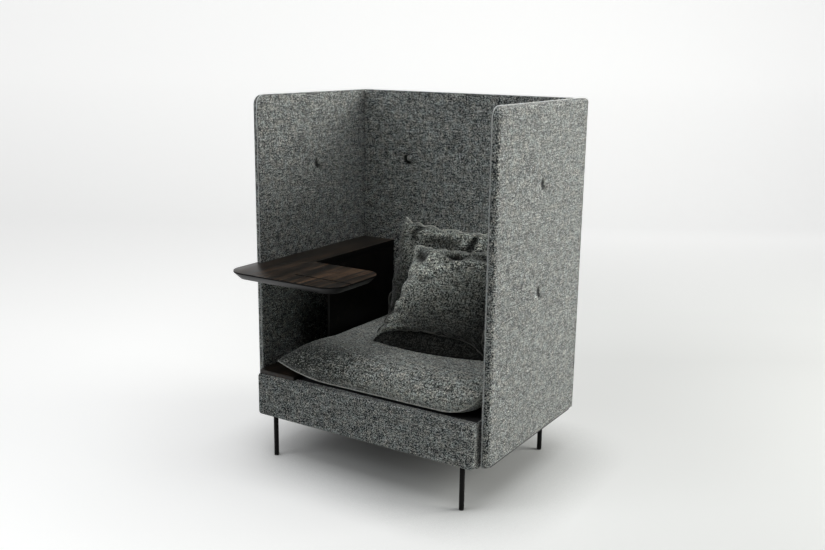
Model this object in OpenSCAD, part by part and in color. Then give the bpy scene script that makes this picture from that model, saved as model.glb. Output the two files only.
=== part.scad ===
// Acoustic high back lounge chair: three upholstered panels stand round a seat box on four thin legs.
// A small table with a shelf runs along the left panel, and a cushion and two pillows lie on the seat.
// X runs to the right seen from the front, Y to the back and Z up. The origin is on the floor,
// in the middle of the whole outline.

/* [Overall] */
// Width over the two side panels
overall_w = 992; // [900:1:1100]
// Height over the panels
overall_h = 1350; // [1250:1:1500]
// Depth of a side panel, front to back
panel_depth = 706; // [680:1:760]
// Height of the panels and the seat box above the floor
floor_gap = 160; // [120:1:200]

/* [Panels] */
// Thickness of a side panel
side_t = 30; // [28:1:36]
// Thickness of the back panel
back_t = 32; // [28:1:40]
// Distance from the back panel's rear face to the side panels' rear edges
back_inset = 22; // [15:1:30]
// Padding and fabric over the faces of a panel
pad_t = 5; // [3:0.5:6]
// Padding and fabric over the edges of a panel
edge_pad = 10; // [9:0.5:14]
// Rounding of the outer arris of a panel
outer_round = 18; // [12:1:18]
// Rounding of the inner arris of a panel
inner_round = 7; // [4:1:9]
// Radius of a side panel's front corner at the top
top_corner_r = 36; // [24:1:50]
// Radius of a side panel's other corners
low_corner_r = 20; // [19:1:24]
// Width of the frame boards inside a panel
stile_w = 60; // [40:1:75]
// Height of the frame board that the seat box is bolted to
seat_board_h = 150; // [130:1:170]
// Height of the frame board that the table is screwed to
table_board_h = 90; // [60:1:110]
// Depth of the strip that closes a panel at the bottom
strip_t = 9; // [6:0.5:9]

/* [Tufting] */
// Height of the upper row of buttons
tuft_high = 1085; // [950:1:1120]
// Height of the lower row of buttons
tuft_low = 708; // [500:1:708]
// Distance between the two columns of buttons on the back panel
tuft_spread = 482; // [360:1:560]
// Diameter of a button
button_d = 28; // [20:1:34]
// Height of a button
button_h = 5; // [4:0.5:7]
// Diameter of the dimple round a button
dimple_d = 64; // [50:1:80]
// Depth of the dimple
dimple_depth = 3.2; // [2:0.1:4]
// Diameter of the twine that ties two buttons through a panel
tie_d = 2.4; // [2:0.2:4]

/* [Seat box] */
// Height of the seat box
box_h = 162; // [140:1:200]
// Thickness of the fascia, which stands in front of the panels
fascia_t = 34; // [30:1:45]
// Width by which the fascia laps over the left panel's front edge
fascia_lap = 5; // [2:1:12]
// Gap between the seat box and the right panel
right_gap = 9; // [4:1:15]
// Padding and fabric on the fascia
fascia_pad = 8; // [6:0.5:10]
// Rounding of the fascia's front edges
fascia_round = 10; // [6:1:14]
// Padding and fabric on the sides of the seat box
skirt_t = 6; // [4:0.5:8]
// Thickness of the frame boards
board_t = 24; // [18:1:28]
// Height of the frame boards' underside above the box's underside
rail_lift = 8; // [6:0.5:12]
// Length and width of a corner block
block_w = 80; // [70:1:95]
// Height of a corner block
block_h = 50; // [40:1:70]
// Number of webbing straps
web_count = 9; // [6:1:10]
// Width of a strap
web_w = 60; // [40:1:65]
// Thickness of a strap
web_t = 2; // [1:0.5:3]
// Thickness of the cloth over the deck
cloth_t = 1; // [0.6:0.1:2]
// Thickness of the dust cloth under the box
dust_t = 1; // [0.6:0.1:2]

/* [Legs] */
// Diameter of a leg tube
leg_d = 18; // [14:1:24]
// Wall of a leg tube
leg_wall = 2; // [1.5:0.1:3]
// Distance from the side panels' outer faces to the legs' axes
leg_in = 91; // [88:1:105]
// Distance from the fascia's front face to the front legs' axes
front_leg_in = 26.5; // [22:0.5:30]
// Distance from the panels' rear edges to the rear legs' axes
rear_leg_in = 101; // [90:1:112]
// Length and width of a leg plate
plate_w = 60; // [50:1:70]
// Thickness of a leg plate
plate_t = 3; // [2:0.5:4]
// Height of the glide under a leg
glide_h = 4; // [3:0.5:6]
// Diameter of the stud in a leg's top
stud_d = 8; // [6:1:10]

/* [Table] */
// Height of the table top above the floor
table_h = 742; // [720:1:780]
// Thickness of the table top
table_t = 28; // [22:1:34]
// Height of the upright part of the table's edge
table_edge = 5; // [3:0.5:8]
// Width of the slope under the table's edge
table_bevel = 24; // [10:1:30]
// Reach of the table in front of the panels
table_reach = 174; // [140:1:200]
// Width of the table's front part
table_w = 480; // [440:1:520]
// Depth of the table's front part
table_d = 297; // [270:1:320]
// Radius of the table's corners in plan
table_r = 70; // [40:1:90]
// Distance from the left panel's outer face to the table's left edge
table_in = 12; // [8:1:20]
// Width of the shelf along the left panel
shelf_w = 153; // [130:1:175]
// Length of the slot for a tablet
slot_l = 241; // [180:1:300]
// Width of the slot
slot_w = 8; // [6:0.5:12]
// Depth of the slot
slot_depth = 10; // [6:0.5:14]
// Distance from the table's front edge to the middle of the slot
slot_in = 98; // [80:1:120]
// Thickness of the upright support board
support_t = 12; // [10:1:18]
// Length of the upright support board
support_l = 442; // [380:1:470]
// Thickness of the ledge board
ledge_t = 15; // [12:1:20]
// Width by which the ledge stands out past the support board
ledge_lip = 10; // [5:1:16]
// Distance from the fascia's front face to the ledge's front edge
ledge_in = 9; // [4:1:20]
// Length of a leg of an angle bracket
bracket_leg = 25; // [20:1:30]
// Width of an angle bracket
bracket_w = 30; // [20:1:40]
// Thickness of an angle bracket and of the steel plate in the table
steel_t = 3; // [2:0.5:4]
// Length of the steel plate in the table, front to back
stiff_l = 320; // [250:1:330]
// Distance from the shelf's edges to the steel plate
stiff_edge = 18; // [14:1:30]

/* [Seat cushion] */
// Height of the seat cushion's top above the floor
cushion_top = 456; // [430:1:470]
// Height of the side seams above the floor
cushion_seam = 385; // [370:1:400]
// Height of the front seam above the floor
front_seam = 335; // [330:1:345]
// Distance from the fascia's front face to the front seam
front_seam_in = 25; // [20:1:40]
// Swell of the cushion's front past its seam
cushion_nose = 21; // [10:1:24]
// Reach of the left front corner past the cushion's side
ear_l = 98; // [40:1:110]
// Height of the left front corner above the floor
ear_h = 379; // [365:1:390]
// Height of the right front corner above the floor
right_corner_h = 400; // [380:1:405]
// How far the right front corner is drawn back
corner_back = 18; // [10:1:40]

/* [Pillows] */
// Width of the rear pillow
rear_w = 500; // [430:1:510]
// Height of the rear pillow along its slope
rear_h = 425; // [400:1:440]
// Thickness of the rear pillow
rear_t = 150; // [120:1:150]
// Lean of the rear pillow from upright, in degrees
rear_lean = 21.8; // [18:0.2:24]
// Distance from the back panel to the rear pillow's lower edge
rear_out = 162; // [150:1:180]
// Distance of the rear pillow's middle to the left of the chair's middle
rear_shift = 5; // [0:1:20]
// Width of the front pillow
front_w = 460; // [400:1:480]
// Height of the front pillow along its slope
front_h = 462; // [440:1:470]
// Thickness of the front pillow
front_t = 140; // [100:1:145]
// Lean of the front pillow from upright, in degrees
front_lean = 46.5; // [44:0.5:50]
// Turn of the front pillow in its own plane, in degrees
front_turn = 4; // [0:0.5:8]
// Distance from the back panel to the front pillow's lower edge
front_out = 438; // [420:1:450]
// Distance of the front pillow's middle to the right of the chair's middle
front_shift = 115; // [90:1:130]

/* [Fasteners] */
// Diameter of the bolts that join the panels to the seat box
bolt_d = 8; // [6:1:10]
// Diameter of a bolt's head
bolt_head_d = 13; // [11:1:16]
// Height of a bolt's head
bolt_head_h = 5; // [4:0.5:7]
// Depth that a bolt goes into a panel's frame
bolt_bite = 14; // [10:1:18]
// Diameter of a washer
washer_d = 20; // [17:1:26]
// Thickness of a washer
washer_t = 1.6; // [1:0.2:2.4]
// Diameter of a wood screw
screw_d = 4; // [3:0.5:5]
// Diameter of a wood screw's head
screw_head_d = 8; // [7:0.5:10]

/* [Hidden] */
$fn = 48;

// Finishes
fabric_tone = [0.34, 0.35, 0.33];
pillow_tone = [0.22, 0.24, 0.23];
wood_tone = [0.16, 0.13, 0.11];
timber_tone = [0.78, 0.66, 0.48];
steel_tone = [0.68, 0.69, 0.71];
black_tone = [0.05, 0.05, 0.05];
felt_tone = [0.55, 0.55, 0.53];
cloth_tone = [0.12, 0.12, 0.12];

// Clearances
soft_gap = 0.3;
fit_gap = 0.2;
hole_gap = 0.25;
overrun = 2;

// Planes of the panels
total_depth = panel_depth + table_reach;
panel_front = table_reach - total_depth / 2;
panel_back = total_depth / 2;
panel_mid = (panel_front + panel_back) / 2;
table_front = -total_depth / 2;
inner_x = overall_w / 2 - side_t;
back_rear = panel_back - back_inset;
back_face = back_rear - back_t;
side_core_t = side_t - 2 * pad_t;
back_core_t = back_t - 2 * pad_t;
button_proud = button_h - dimple_depth;

// Planes of the seat box
deck_z = floor_gap + box_h;
rail_low = floor_gap + rail_lift;
rail_high = deck_z - fascia_pad;
fascia_front = panel_front - fascia_t;
box_left = -inner_x;
box_right = inner_x - right_gap;
ring_left = box_left + skirt_t;
ring_right = box_right - skirt_t;
fascia_left = box_left - fascia_lap;
centre_drop = 30;

// Table
table_low = table_h - table_t;
table_left = table_in - overall_w / 2;
table_right = table_left + table_w;
return_back = table_front + table_d;
shelf_right = shelf_w - inner_x;
back_gap = 0.5;
shelf_gap = button_proud + soft_gap;
notch_r = 12;
support_front = back_face - support_l;
ledge_top = deck_z + ledge_t;
ledge_right = shelf_right + ledge_lip;
ledge_front = fascia_front + ledge_in;

// Legs
front_leg_y = fascia_front + front_leg_in;
rear_leg_y = panel_back - rear_leg_in;
front_plate_back = 20;
plate_low = rail_low - plate_t;
stud_up = 24;
stud_down = 25;
plate_hole_in = 12;
plate_screw_l = 22;

// Places along a side, as shares of the length that they divide
bolt_shares = [0.2, 0.8];
back_bolt_shares = [0.16, 0.38, 0.62, 0.84];
stud_shares = [0.32, 0.62, 0.92];
fascia_screw_shares = [0.08, 0.36, 0.64, 0.92];
fascia_screw_height_share = 0.62;
ledge_screw_shares = [0.12, 0.5, 0.88];
corner_shares = [-1, 1];

// A block between two opposite corners
module block(low, high) {
    translate(low) cube(high - low);
}

// A cylinder along X that starts at a point
module rod_x(start, length, d) {
    translate(start) rotate([0, 90, 0]) cylinder(h = length, d = d);
}

// A cylinder along Y that starts at a point
module rod_y(start, length, d) {
    translate(start) rotate([-90, 0, 0]) cylinder(h = length, d = d);
}

// A cylinder along Z that starts at a point
module rod_z(start, length, d) {
    translate(start) cylinder(h = length, d = d);
}

// Points of an arc about a centre, from one angle to another
arc_steps = 8;
function arc(centre, r, from, to) = [
    for (i = [0 : arc_steps]) let (a = from + (to - from) * i / arc_steps) centre + r * [cos(a), sin(a)]
];

// Outline in Y and Z of a panel's board, drawn in by an edge, with its own front corner at the top
module board_outline(y0, y1, z0, z1, front_top_r, other_r) {
    polygon(concat(
        arc([y0 + front_top_r, z1 - front_top_r], front_top_r, 180, 90),
        arc([y1 - other_r, z1 - other_r], other_r, 90, 0),
        arc([y1 - other_r, z0 + other_r], other_r, 0, -90),
        arc([y0 + other_r, z0 + other_r], other_r, 270, 180)
    ));
}

// Side panels. A corner of the padded slab is a disc with its two arrises rounded.
module corner_disc(r) {
    rotate([0, 90, 0]) rotate_extrude($fn = 32) polygon(concat(
        [[0, 0]],
        arc([r - outer_round, outer_round], outer_round, -90, 0),
        arc([r - inner_round, side_t - inner_round], inner_round, 0, 90),
        [[0, side_t]]
    ));
}

module left_slab() {
    translate([-overall_w / 2, 0, 0]) hull() {
        translate([0, panel_front + top_corner_r, overall_h - top_corner_r]) corner_disc(top_corner_r);
        translate([0, panel_back - low_corner_r, overall_h - low_corner_r]) corner_disc(low_corner_r);
        for (y = [panel_front + low_corner_r, panel_back - low_corner_r])
            translate([0, y, floor_gap + low_corner_r]) corner_disc(low_corner_r);
    }
}

// The space that a side panel's frame fills, seen from the left panel
core_front = panel_front + edge_pad;
core_back = panel_back - edge_pad;
core_low = floor_gap + edge_pad;
core_high = overall_h - edge_pad;
core_x = pad_t - overall_w / 2;

module at_left_core() {
    translate([core_x, 0, 0]) rotate([90, 0, 90]) linear_extrude(side_core_t) children();
}

module core_outline() {
    board_outline(core_front, core_back, core_low, core_high, top_corner_r - edge_pad, low_corner_r - edge_pad);
}

// Windows between the boards of a side panel's frame
table_board_low = table_low - table_board_h;
side_windows = [
    [core_low + seat_board_h, table_board_low],
    [table_low, core_high - stile_w]
];

module side_window_outlines(gap) {
    for (window = side_windows)
        translate([core_front + stile_w + gap, window[0] + gap])
            square([core_back - core_front - 2 * stile_w - 2 * gap, window[1] - window[0] - 2 * gap]);
}

// Two buttons of a side panel are tied through it at the middle of its depth
side_tufts = [for (z = [tuft_high, tuft_low]) [panel_mid, z]];
back_tufts = [for (z = [tuft_high, tuft_low], x = [-tuft_spread / 2, tuft_spread / 2]) [x, z]];

// A dimple cut into a face whose outward way is +Z, with a flat seat for the button
module dimple() {
    seat_d = button_d + 2 * hole_gap;
    translate([0, 0, -dimple_depth]) {
        cylinder(h = dimple_depth, d1 = seat_d, d2 = dimple_d);
        cylinder(h = dimple_depth + overrun, d = seat_d);
    }
    translate([0, 0, -edge_pad]) cylinder(h = edge_pad, d = tie_d + 2 * hole_gap);
}

// A button on its seat, a flat dome
module button() {
    dome_r = (button_d * button_d / 4 + button_h * button_h) / (2 * button_h);
    translate([0, 0, -dimple_depth]) intersection() {
        cylinder(h = button_h, d = button_d);
        translate([0, 0, button_h - dome_r]) sphere(r = dome_r, $fn = 96);
    }
}

// Puts a child on both faces of the left panel, at each of its tufts
module at_left_tufts() {
    for (tuft = side_tufts) {
        translate([-inner_x, tuft[0], tuft[1]]) rotate([0, 90, 0]) children();
        translate([-overall_w / 2, tuft[0], tuft[1]]) rotate([0, -90, 0]) children();
    }
}

// Bolts through the sides of the seat box into the side panels
bolt_z = floor_gap + box_h / 2;
bolt_ys = [for (share = bolt_shares) panel_front + share * (back_face - panel_front)];
bolt_into = pad_t + bolt_bite;

module left_bolt_holes(extra) {
    for (y = bolt_ys)
        rod_x([-inner_x - bolt_into - extra, y, bolt_z], bolt_into + extra + overrun, bolt_d + 2 * extra);
}

// Studs that join a side panel to the back panel
stud_bite = 12;
stud_into = 30;
stud_y = (back_face + back_rear) / 2;
stud_zs = [for (share = stud_shares) floor_gap + share * (overall_h - floor_gap)];
stud_x0 = -inner_x - pad_t - stud_bite;

module left_studs(extra) {
    for (z = stud_zs)
        rod_x([stud_x0 - extra, stud_y, z], pad_t + stud_bite + pad_t + stud_into + 2 * extra, stud_d + 2 * extra);
}

// Screws of the table's brackets, here the ones that go into the left panel. One bracket stands
// in front of the panel's lower button and one behind it.
bracket_ys = [
    (support_front + panel_mid - button_d / 2) / 2,
    (panel_mid + button_d / 2 + back_face) / 2
];
bracket_screw_l = 14;
bracket_screw_z = table_low - steel_t - bracket_leg / 2;

module panel_bracket_screws(extra) {
    for (y = bracket_ys)
        rod_x([-inner_x - bracket_screw_l - extra, y, bracket_screw_z],
            bracket_screw_l + steel_t + 2 * extra, screw_d + 2 * extra);
}

module left_cover_solid() {
    difference() {
        left_slab();
        at_left_core() core_outline();
        at_left_core() translate([core_front + low_corner_r, floor_gap - overrun])
            square([core_back - core_front - 2 * low_corner_r, edge_pad + 2 * overrun]);
        at_left_tufts() dimple();
        left_bolt_holes(hole_gap);
        left_studs(hole_gap);
    }
}

module side_frame_solid() {
    difference() {
        at_left_core() difference() {
            core_outline();
            side_window_outlines(0);
        }
        for (tuft = side_tufts)
            rod_x([core_x - overrun, tuft[0], tuft[1]], side_core_t + 2 * overrun, tie_d + 2 * hole_gap);
        left_bolt_holes(0);
        left_studs(0);
    }
}

module side_infill_solid() {
    difference() {
        at_left_core() side_window_outlines(fit_gap);
        for (tuft = side_tufts)
            rod_x([core_x - overrun, tuft[0], tuft[1]], side_core_t + 2 * overrun, tie_d + 2 * hole_gap);
    }
}

module left_panel_cover() {
    color(fabric_tone) difference() {
        left_cover_solid();
        panel_bracket_screws(hole_gap);
    }
}

module left_panel_frame() {
    color(timber_tone) difference() {
        side_frame_solid();
        panel_bracket_screws(0);
    }
}

module left_panel_infill() {
    color(felt_tone) side_infill_solid();
}

module left_panel_buttons() {
    color(fabric_tone) at_left_tufts() button();
}

module right_panel_cover() {
    color(fabric_tone) mirror([1, 0, 0]) left_cover_solid();
}

module right_panel_frame() {
    color(timber_tone) mirror([1, 0, 0]) side_frame_solid();
}

module right_panel_infill() {
    color(felt_tone) mirror([1, 0, 0]) side_infill_solid();
}

module right_panel_buttons() {
    color(fabric_tone) mirror([1, 0, 0]) at_left_tufts() button();
}

// Back panel, between the side panels. Its section in Y and Z has the same arrises as theirs.
module back_section() {
    polygon(concat(
        arc([back_face + inner_round, overall_h - inner_round], inner_round, 180, 90),
        arc([back_rear - outer_round, overall_h - outer_round], outer_round, 90, 0),
        arc([back_rear - outer_round, floor_gap + outer_round], outer_round, 0, -90),
        arc([back_face + inner_round, floor_gap + inner_round], inner_round, 270, 180)
    ));
}

back_core_w = 2 * (inner_x - pad_t);
back_windows = [
    [core_low + seat_board_h, (tuft_high + tuft_low) / 2 - stile_w / 2],
    [(tuft_high + tuft_low) / 2 + stile_w / 2, core_high - stile_w]
];

// Lays an outline in X and Z into the middle of the back panel
module at_back_core() {
    translate([0, back_face + pad_t + back_core_t, 0]) rotate([90, 0, 0]) linear_extrude(back_core_t) children();
}

module back_core_outline() {
    translate([-back_core_w / 2, core_low]) square([back_core_w, core_high - core_low]);
}

module back_window_outlines(gap) {
    for (window = back_windows)
        translate([gap + stile_w - back_core_w / 2, window[0] + gap])
            square([back_core_w - 2 * stile_w - 2 * gap, window[1] - window[0] - 2 * gap]);
}

module at_back_tufts() {
    for (tuft = back_tufts) {
        translate([tuft[0], back_face, tuft[1]]) rotate([90, 0, 0]) children();
        translate([tuft[0], back_rear, tuft[1]]) rotate([-90, 0, 0]) children();
    }
}

module back_tie_holes() {
    for (tuft = back_tufts)
        rod_y([tuft[0], back_face, tuft[1]], back_t, tie_d + 2 * hole_gap);
}

// Bolts through the rear rail of the seat box into the back panel
back_bolt_xs = [for (share = back_bolt_shares) ring_left + share * (ring_right - ring_left)];

module back_bolt_holes(extra) {
    for (x = back_bolt_xs)
        rod_y([x, back_face - overrun, bolt_z], bolt_into + overrun + extra, bolt_d + 2 * extra);
}

module both_sides_studs(extra) {
    left_studs(extra);
    mirror([1, 0, 0]) left_studs(extra);
}

module back_panel_cover() {
    color(fabric_tone) difference() {
        translate([-inner_x, 0, 0]) rotate([90, 0, 90]) linear_extrude(2 * inner_x) back_section();
        at_back_core() back_core_outline();
        at_back_core() translate([outer_round - inner_x, floor_gap - overrun])
            square([2 * (inner_x - outer_round), edge_pad + 2 * overrun]);
        at_back_tufts() dimple();
        back_bolt_holes(hole_gap);
        both_sides_studs(hole_gap);
    }
}

module back_panel_frame() {
    color(timber_tone) difference() {
        at_back_core() difference() {
            back_core_outline();
            back_window_outlines(0);
        }
        back_tie_holes();
        back_bolt_holes(0);
        both_sides_studs(0);
    }
}

module back_panel_infill() {
    color(felt_tone) difference() {
        at_back_core() back_window_outlines(fit_gap);
        back_tie_holes();
    }
}

module back_panel_buttons() {
    color(fabric_tone) at_back_tufts() button();
}

// Ply strips that close the three panels from below and hold the ends of the fabric
module panel_bottom_strips() {
    strip_low = core_low - strip_t;
    side_low = [core_x + fit_gap, core_front + low_corner_r + fit_gap, strip_low];
    side_high = [core_x + side_core_t - fit_gap, core_back - low_corner_r - fit_gap, core_low];
    color(black_tone) {
        block(side_low, side_high);
        mirror([1, 0, 0]) block(side_low, side_high);
        block(
            [outer_round - inner_x + fit_gap, back_face + pad_t + fit_gap, strip_low],
            [inner_x - outer_round - fit_gap, back_rear - pad_t - fit_gap, core_low]
        );
    }
}

// Twine through each tuft, from the seat of one button to the seat of the other
module tufting_ties() {
    tie_in = dimple_depth;
    color(black_tone) {
        for (side = [0, 1], tuft = side_tufts)
            mirror([side, 0, 0]) rod_x([tie_in - overall_w / 2, tuft[0], tuft[1]], side_t - 2 * tie_in, tie_d);
        for (tuft = back_tufts)
            rod_y([tuft[0], back_face + tie_in, tuft[1]], back_t - 2 * tie_in, tie_d);
    }
}

module corner_studs() {
    color(steel_tone) both_sides_studs(0);
}

// Fascia: a padded board across the front of the seat box
fascia_inner = [[fascia_left + fascia_pad, fascia_front + fascia_pad, rail_low],
    [box_right - fascia_pad, panel_front, rail_high]];

module fascia_shape() {
    r = fascia_round;
    hull() {
        for (x = [fascia_left + r, box_right - r], z = [floor_gap + r, deck_z - r]) {
            translate([x, fascia_front + r, z]) sphere(r = r, $fn = 32);
            translate([x, panel_front - r, z]) rotate([-90, 0, 0]) cylinder(h = r, r = r, $fn = 32);
        }
    }
}

// Where the four legs stand, with the way that their plates are set back
leg_x = overall_w / 2 - leg_in;
leg_places = [
    [-leg_x, front_leg_y, front_plate_back],
    [leg_x, front_leg_y, front_plate_back],
    [-leg_x, rear_leg_y, 0],
    [leg_x, rear_leg_y, 0]
];

module leg_plate_boxes(gap) {
    for (place = leg_places)
        translate([place[0] - plate_w / 2 - gap, place[1] + place[2] - plate_w / 2 - gap, plate_low - gap])
            cube([plate_w + 2 * gap, plate_w + 2 * gap, plate_t + 2 * gap]);
}

module fascia_cover() {
    color(fabric_tone) difference() {
        fascia_shape();
        block(fascia_inner[0], fascia_inner[1] + [0, overrun, 0]);
        leg_plate_boxes(fit_gap);
        for (place = leg_places)
            rod_z([place[0], place[1], floor_gap - overrun], rail_lift, leg_d + 2 * hole_gap);
    }
}

// Screws that hold the fascia board from inside the box
fascia_screw_into = 20;
screw_head_h = 2.6;
fascia_screw_xs = [for (share = fascia_screw_shares) ring_left + share * (ring_right - ring_left)];
fascia_screw_z = rail_low + (rail_high - rail_low) * fascia_screw_height_share;

module fascia_screw_rods(extra) {
    for (x = fascia_screw_xs)
        rod_y([x, panel_front - fascia_screw_into - extra, fascia_screw_z],
            fascia_screw_into + board_t + 2 * extra, screw_d + 2 * extra);
}

module fascia_board() {
    color(timber_tone) difference() {
        block(fascia_inner[0], fascia_inner[1]);
        fascia_screw_rods(0);
        leg_fixings(0);
    }
}

module fascia_screws() {
    color(steel_tone) {
        fascia_screw_rods(0);
        for (x = fascia_screw_xs)
            rod_y([x, panel_front + board_t, fascia_screw_z], screw_head_h, screw_head_d);
    }
}

// The ring of boards in the seat box
module front_frame_rail() {
    color(timber_tone) difference() {
        block([ring_left, panel_front, rail_low], [ring_right, panel_front + board_t, rail_high]);
        fascia_screw_rods(0);
        leg_fixings(0);
    }
}

module rear_frame_rail() {
    color(timber_tone) difference() {
        block([ring_left, back_face - board_t, rail_low], [ring_right, back_face, rail_high]);
        for (x = back_bolt_xs)
            rod_y([x, back_face - board_t - overrun, bolt_z], board_t + 2 * overrun, bolt_d + 2 * hole_gap);
    }
}

module side_frame_rails() {
    color(timber_tone) difference() {
        for (x = [ring_left, ring_right - board_t])
            block([x, panel_front + board_t, rail_low], [x + board_t, back_face - board_t, rail_high]);
        side_bolt_rods(hole_gap);
    }
}

module centre_rail() {
    centre = (ring_left + ring_right) / 2;
    color(timber_tone) block(
        [centre - board_t / 2, panel_front + board_t, rail_low],
        [centre + board_t / 2, back_face - board_t, rail_high - centre_drop]
    );
}

module corner_blocks() {
    color(timber_tone) difference() {
        for (x = [ring_left + board_t, ring_right - board_t - block_w],
             y = [panel_front + board_t, back_face - board_t - block_w])
            block([x, y, rail_low], [x + block_w, y + block_w, rail_low + block_h]);
        leg_fixings(0);
    }
}

// Padded fabric on the sides of the seat box
module side_skirts() {
    color(fabric_tone) difference() {
        for (x = [box_left, box_right - skirt_t])
            block([x, panel_front, floor_gap], [x + skirt_t, back_face, deck_z]);
        side_bolt_rods(hole_gap);
    }
}

module seat_webbing() {
    span = ring_right - ring_left;
    pitch = span / web_count;
    color(black_tone) for (i = [0 : web_count - 1]) {
        x = ring_left + pitch * (i + 0.5);
        block([x - web_w / 2, panel_front, rail_high], [x + web_w / 2, back_face, rail_high + web_t]);
    }
}

module deck_pad() {
    color(felt_tone) block([ring_left, panel_front, rail_high + web_t], [ring_right, back_face, deck_z - cloth_t]);
}

module deck_cloth() {
    color(fabric_tone) block([ring_left, panel_front, deck_z - cloth_t], [ring_right, back_face, deck_z]);
}

// Dust cloth under the box, cut out round the leg plates
module dust_cover() {
    color(cloth_tone) difference() {
        block([ring_left, panel_front, rail_low - dust_t], [ring_right, back_face, rail_low]);
        leg_plate_boxes(fit_gap);
    }
}

// Bolts from inside the box through its sides into the side panels
module side_bolt_rods(extra) {
    for (y = bolt_ys) {
        rod_x([-inner_x - bolt_into - extra, y, bolt_z],
            bolt_into + skirt_t + board_t + washer_t + 2 * extra, bolt_d + 2 * extra);
        rod_x([ring_right - board_t - washer_t - extra, y, bolt_z],
            washer_t + board_t + skirt_t + right_gap + bolt_into + 2 * extra, bolt_d + 2 * extra);
    }
}

module panel_bolts() {
    left_head = ring_left + board_t + washer_t;
    right_head = ring_right - board_t - washer_t - bolt_head_h;
    back_head = back_face - board_t - washer_t - bolt_head_h;
    color(steel_tone) {
        side_bolt_rods(0);
        for (y = bolt_ys) {
            rod_x([left_head, y, bolt_z], bolt_head_h, bolt_head_d);
            rod_x([right_head, y, bolt_z], bolt_head_h, bolt_head_d);
        }
        for (x = back_bolt_xs) {
            rod_y([x, back_head, bolt_z], bolt_head_h, bolt_head_d);
            rod_y([x, back_head, bolt_z], bolt_head_h + washer_t + board_t + bolt_into, bolt_d);
        }
    }
}

module bolt_washers() {
    bore_d = bolt_d + 2 * hole_gap;
    color(steel_tone) difference() {
        union() {
            for (y = bolt_ys) {
                rod_x([ring_left + board_t, y, bolt_z], washer_t, washer_d);
                rod_x([ring_right - board_t - washer_t, y, bolt_z], washer_t, washer_d);
            }
            for (x = back_bolt_xs)
                rod_y([x, back_face - board_t - washer_t, bolt_z], washer_t, washer_d);
        }
        side_bolt_rods(hole_gap);
        for (x = back_bolt_xs)
            rod_y([x, back_face - board_t - washer_t - overrun, bolt_z], washer_t + 2 * overrun, bore_d);
    }
}

// Sleeves that keep the gap between the seat box and the right panel
module spacer_sleeves() {
    color(black_tone) for (y = bolt_ys) difference() {
        rod_x([box_right, y, bolt_z], right_gap, washer_d);
        rod_x([box_right - overrun, y, bolt_z], right_gap + 2 * overrun, bolt_d + 2 * hole_gap);
    }
}

// Legs: thin steel tubes on plates, each with a stud at the top and a glide at the foot
module legs() {
    color(black_tone) for (place = leg_places)
        translate([place[0], place[1], glide_h]) difference() {
            cylinder(h = plate_low - glide_h, d = leg_d);
            translate([0, 0, -overrun]) cylinder(h = plate_low - glide_h + 2 * overrun, d = leg_d - 2 * leg_wall);
        }
}

plate_hole_shares = [for (x = corner_shares, y = corner_shares) [x, y]];

// The screws and the stud of each leg, as solid rods above the plate's underside
module leg_fixings(extra) {
    hole_out = plate_w / 2 - plate_hole_in;
    for (place = leg_places) {
        rod_z([place[0], place[1], plate_low - extra], plate_t + stud_up + 2 * extra, stud_d + 2 * extra);
        for (share = plate_hole_shares)
            rod_z([place[0] + share[0] * hole_out, place[1] + place[2] + share[1] * hole_out, plate_low - extra],
                plate_screw_l + 2 * extra, screw_d + 2 * extra);
    }
}

module plate_screw_heads(extra) {
    hole_out = plate_w / 2 - plate_hole_in;
    for (place = leg_places, share = plate_hole_shares)
        translate([place[0] + share[0] * hole_out, place[1] + place[2] + share[1] * hole_out, plate_low])
            cylinder(h = screw_head_h, d1 = screw_head_d + 2 * extra, d2 = screw_d + 2 * extra);
}

module leg_plates() {
    color(black_tone) difference() {
        leg_plate_boxes(0);
        leg_fixings(hole_gap);
        plate_screw_heads(hole_gap);
    }
}

module leg_plate_screws() {
    hole_out = plate_w / 2 - plate_hole_in;
    color(steel_tone) {
        plate_screw_heads(0);
        for (place = leg_places, share = plate_hole_shares)
            rod_z([place[0] + share[0] * hole_out, place[1] + place[2] + share[1] * hole_out, plate_low],
                plate_screw_l, screw_d);
    }
}

// A stud with a collar that fills the top of its tube
module leg_studs() {
    color(steel_tone) for (place = leg_places) {
        rod_z([place[0], place[1], plate_low - stud_down], stud_down + plate_t + stud_up, stud_d);
        rod_z([place[0], place[1], plate_low - stud_down], stud_down, leg_d - 2 * leg_wall);
    }
}

// A nylon glide: a foot with a rounded rim and a plug in the tube
module leg_glides() {
    plug_h = 14;
    rim = glide_h / 2;
    foot_r = leg_d / 2;
    color(black_tone) for (place = leg_places) translate([place[0], place[1], 0]) {
        rotate_extrude() polygon(concat(
            [[0, 0]],
            arc([foot_r - rim, rim], rim, -90, 0),
            [[foot_r, glide_h], [0, glide_h]]
        ));
        cylinder(h = glide_h + plug_h, d = leg_d - 2 * leg_wall);
    }
}

// Table top: a front part with round corners and a slope under its edge, and a shelf behind it
module table_slab(inset, low, high) {
    r = table_r - inset;
    for (x = [table_left + table_r, table_right - table_r], y = [table_front + table_r, return_back - table_r])
        translate([x, y, low]) cylinder(h = high - low, r = r);
}

module table_front_part() {
    skin = table_edge / 10;
    hull() {
        table_slab(0, table_h - table_edge, table_h);
        table_slab(table_bevel, table_low, table_low + skin);
    }
}

module table_holes(extra) {
    for (x = stiff_screw_xs, y = stiff_screw_ys)
        rod_z([x, y, table_low - extra], stiff_screw_l + extra, screw_d + 2 * extra);
    for (y = bracket_ys, x = shelf_screw_xs)
        rod_z([x, y, table_low - steel_t - extra], bracket_screw_l + extra, screw_d + 2 * extra);
}

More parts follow.
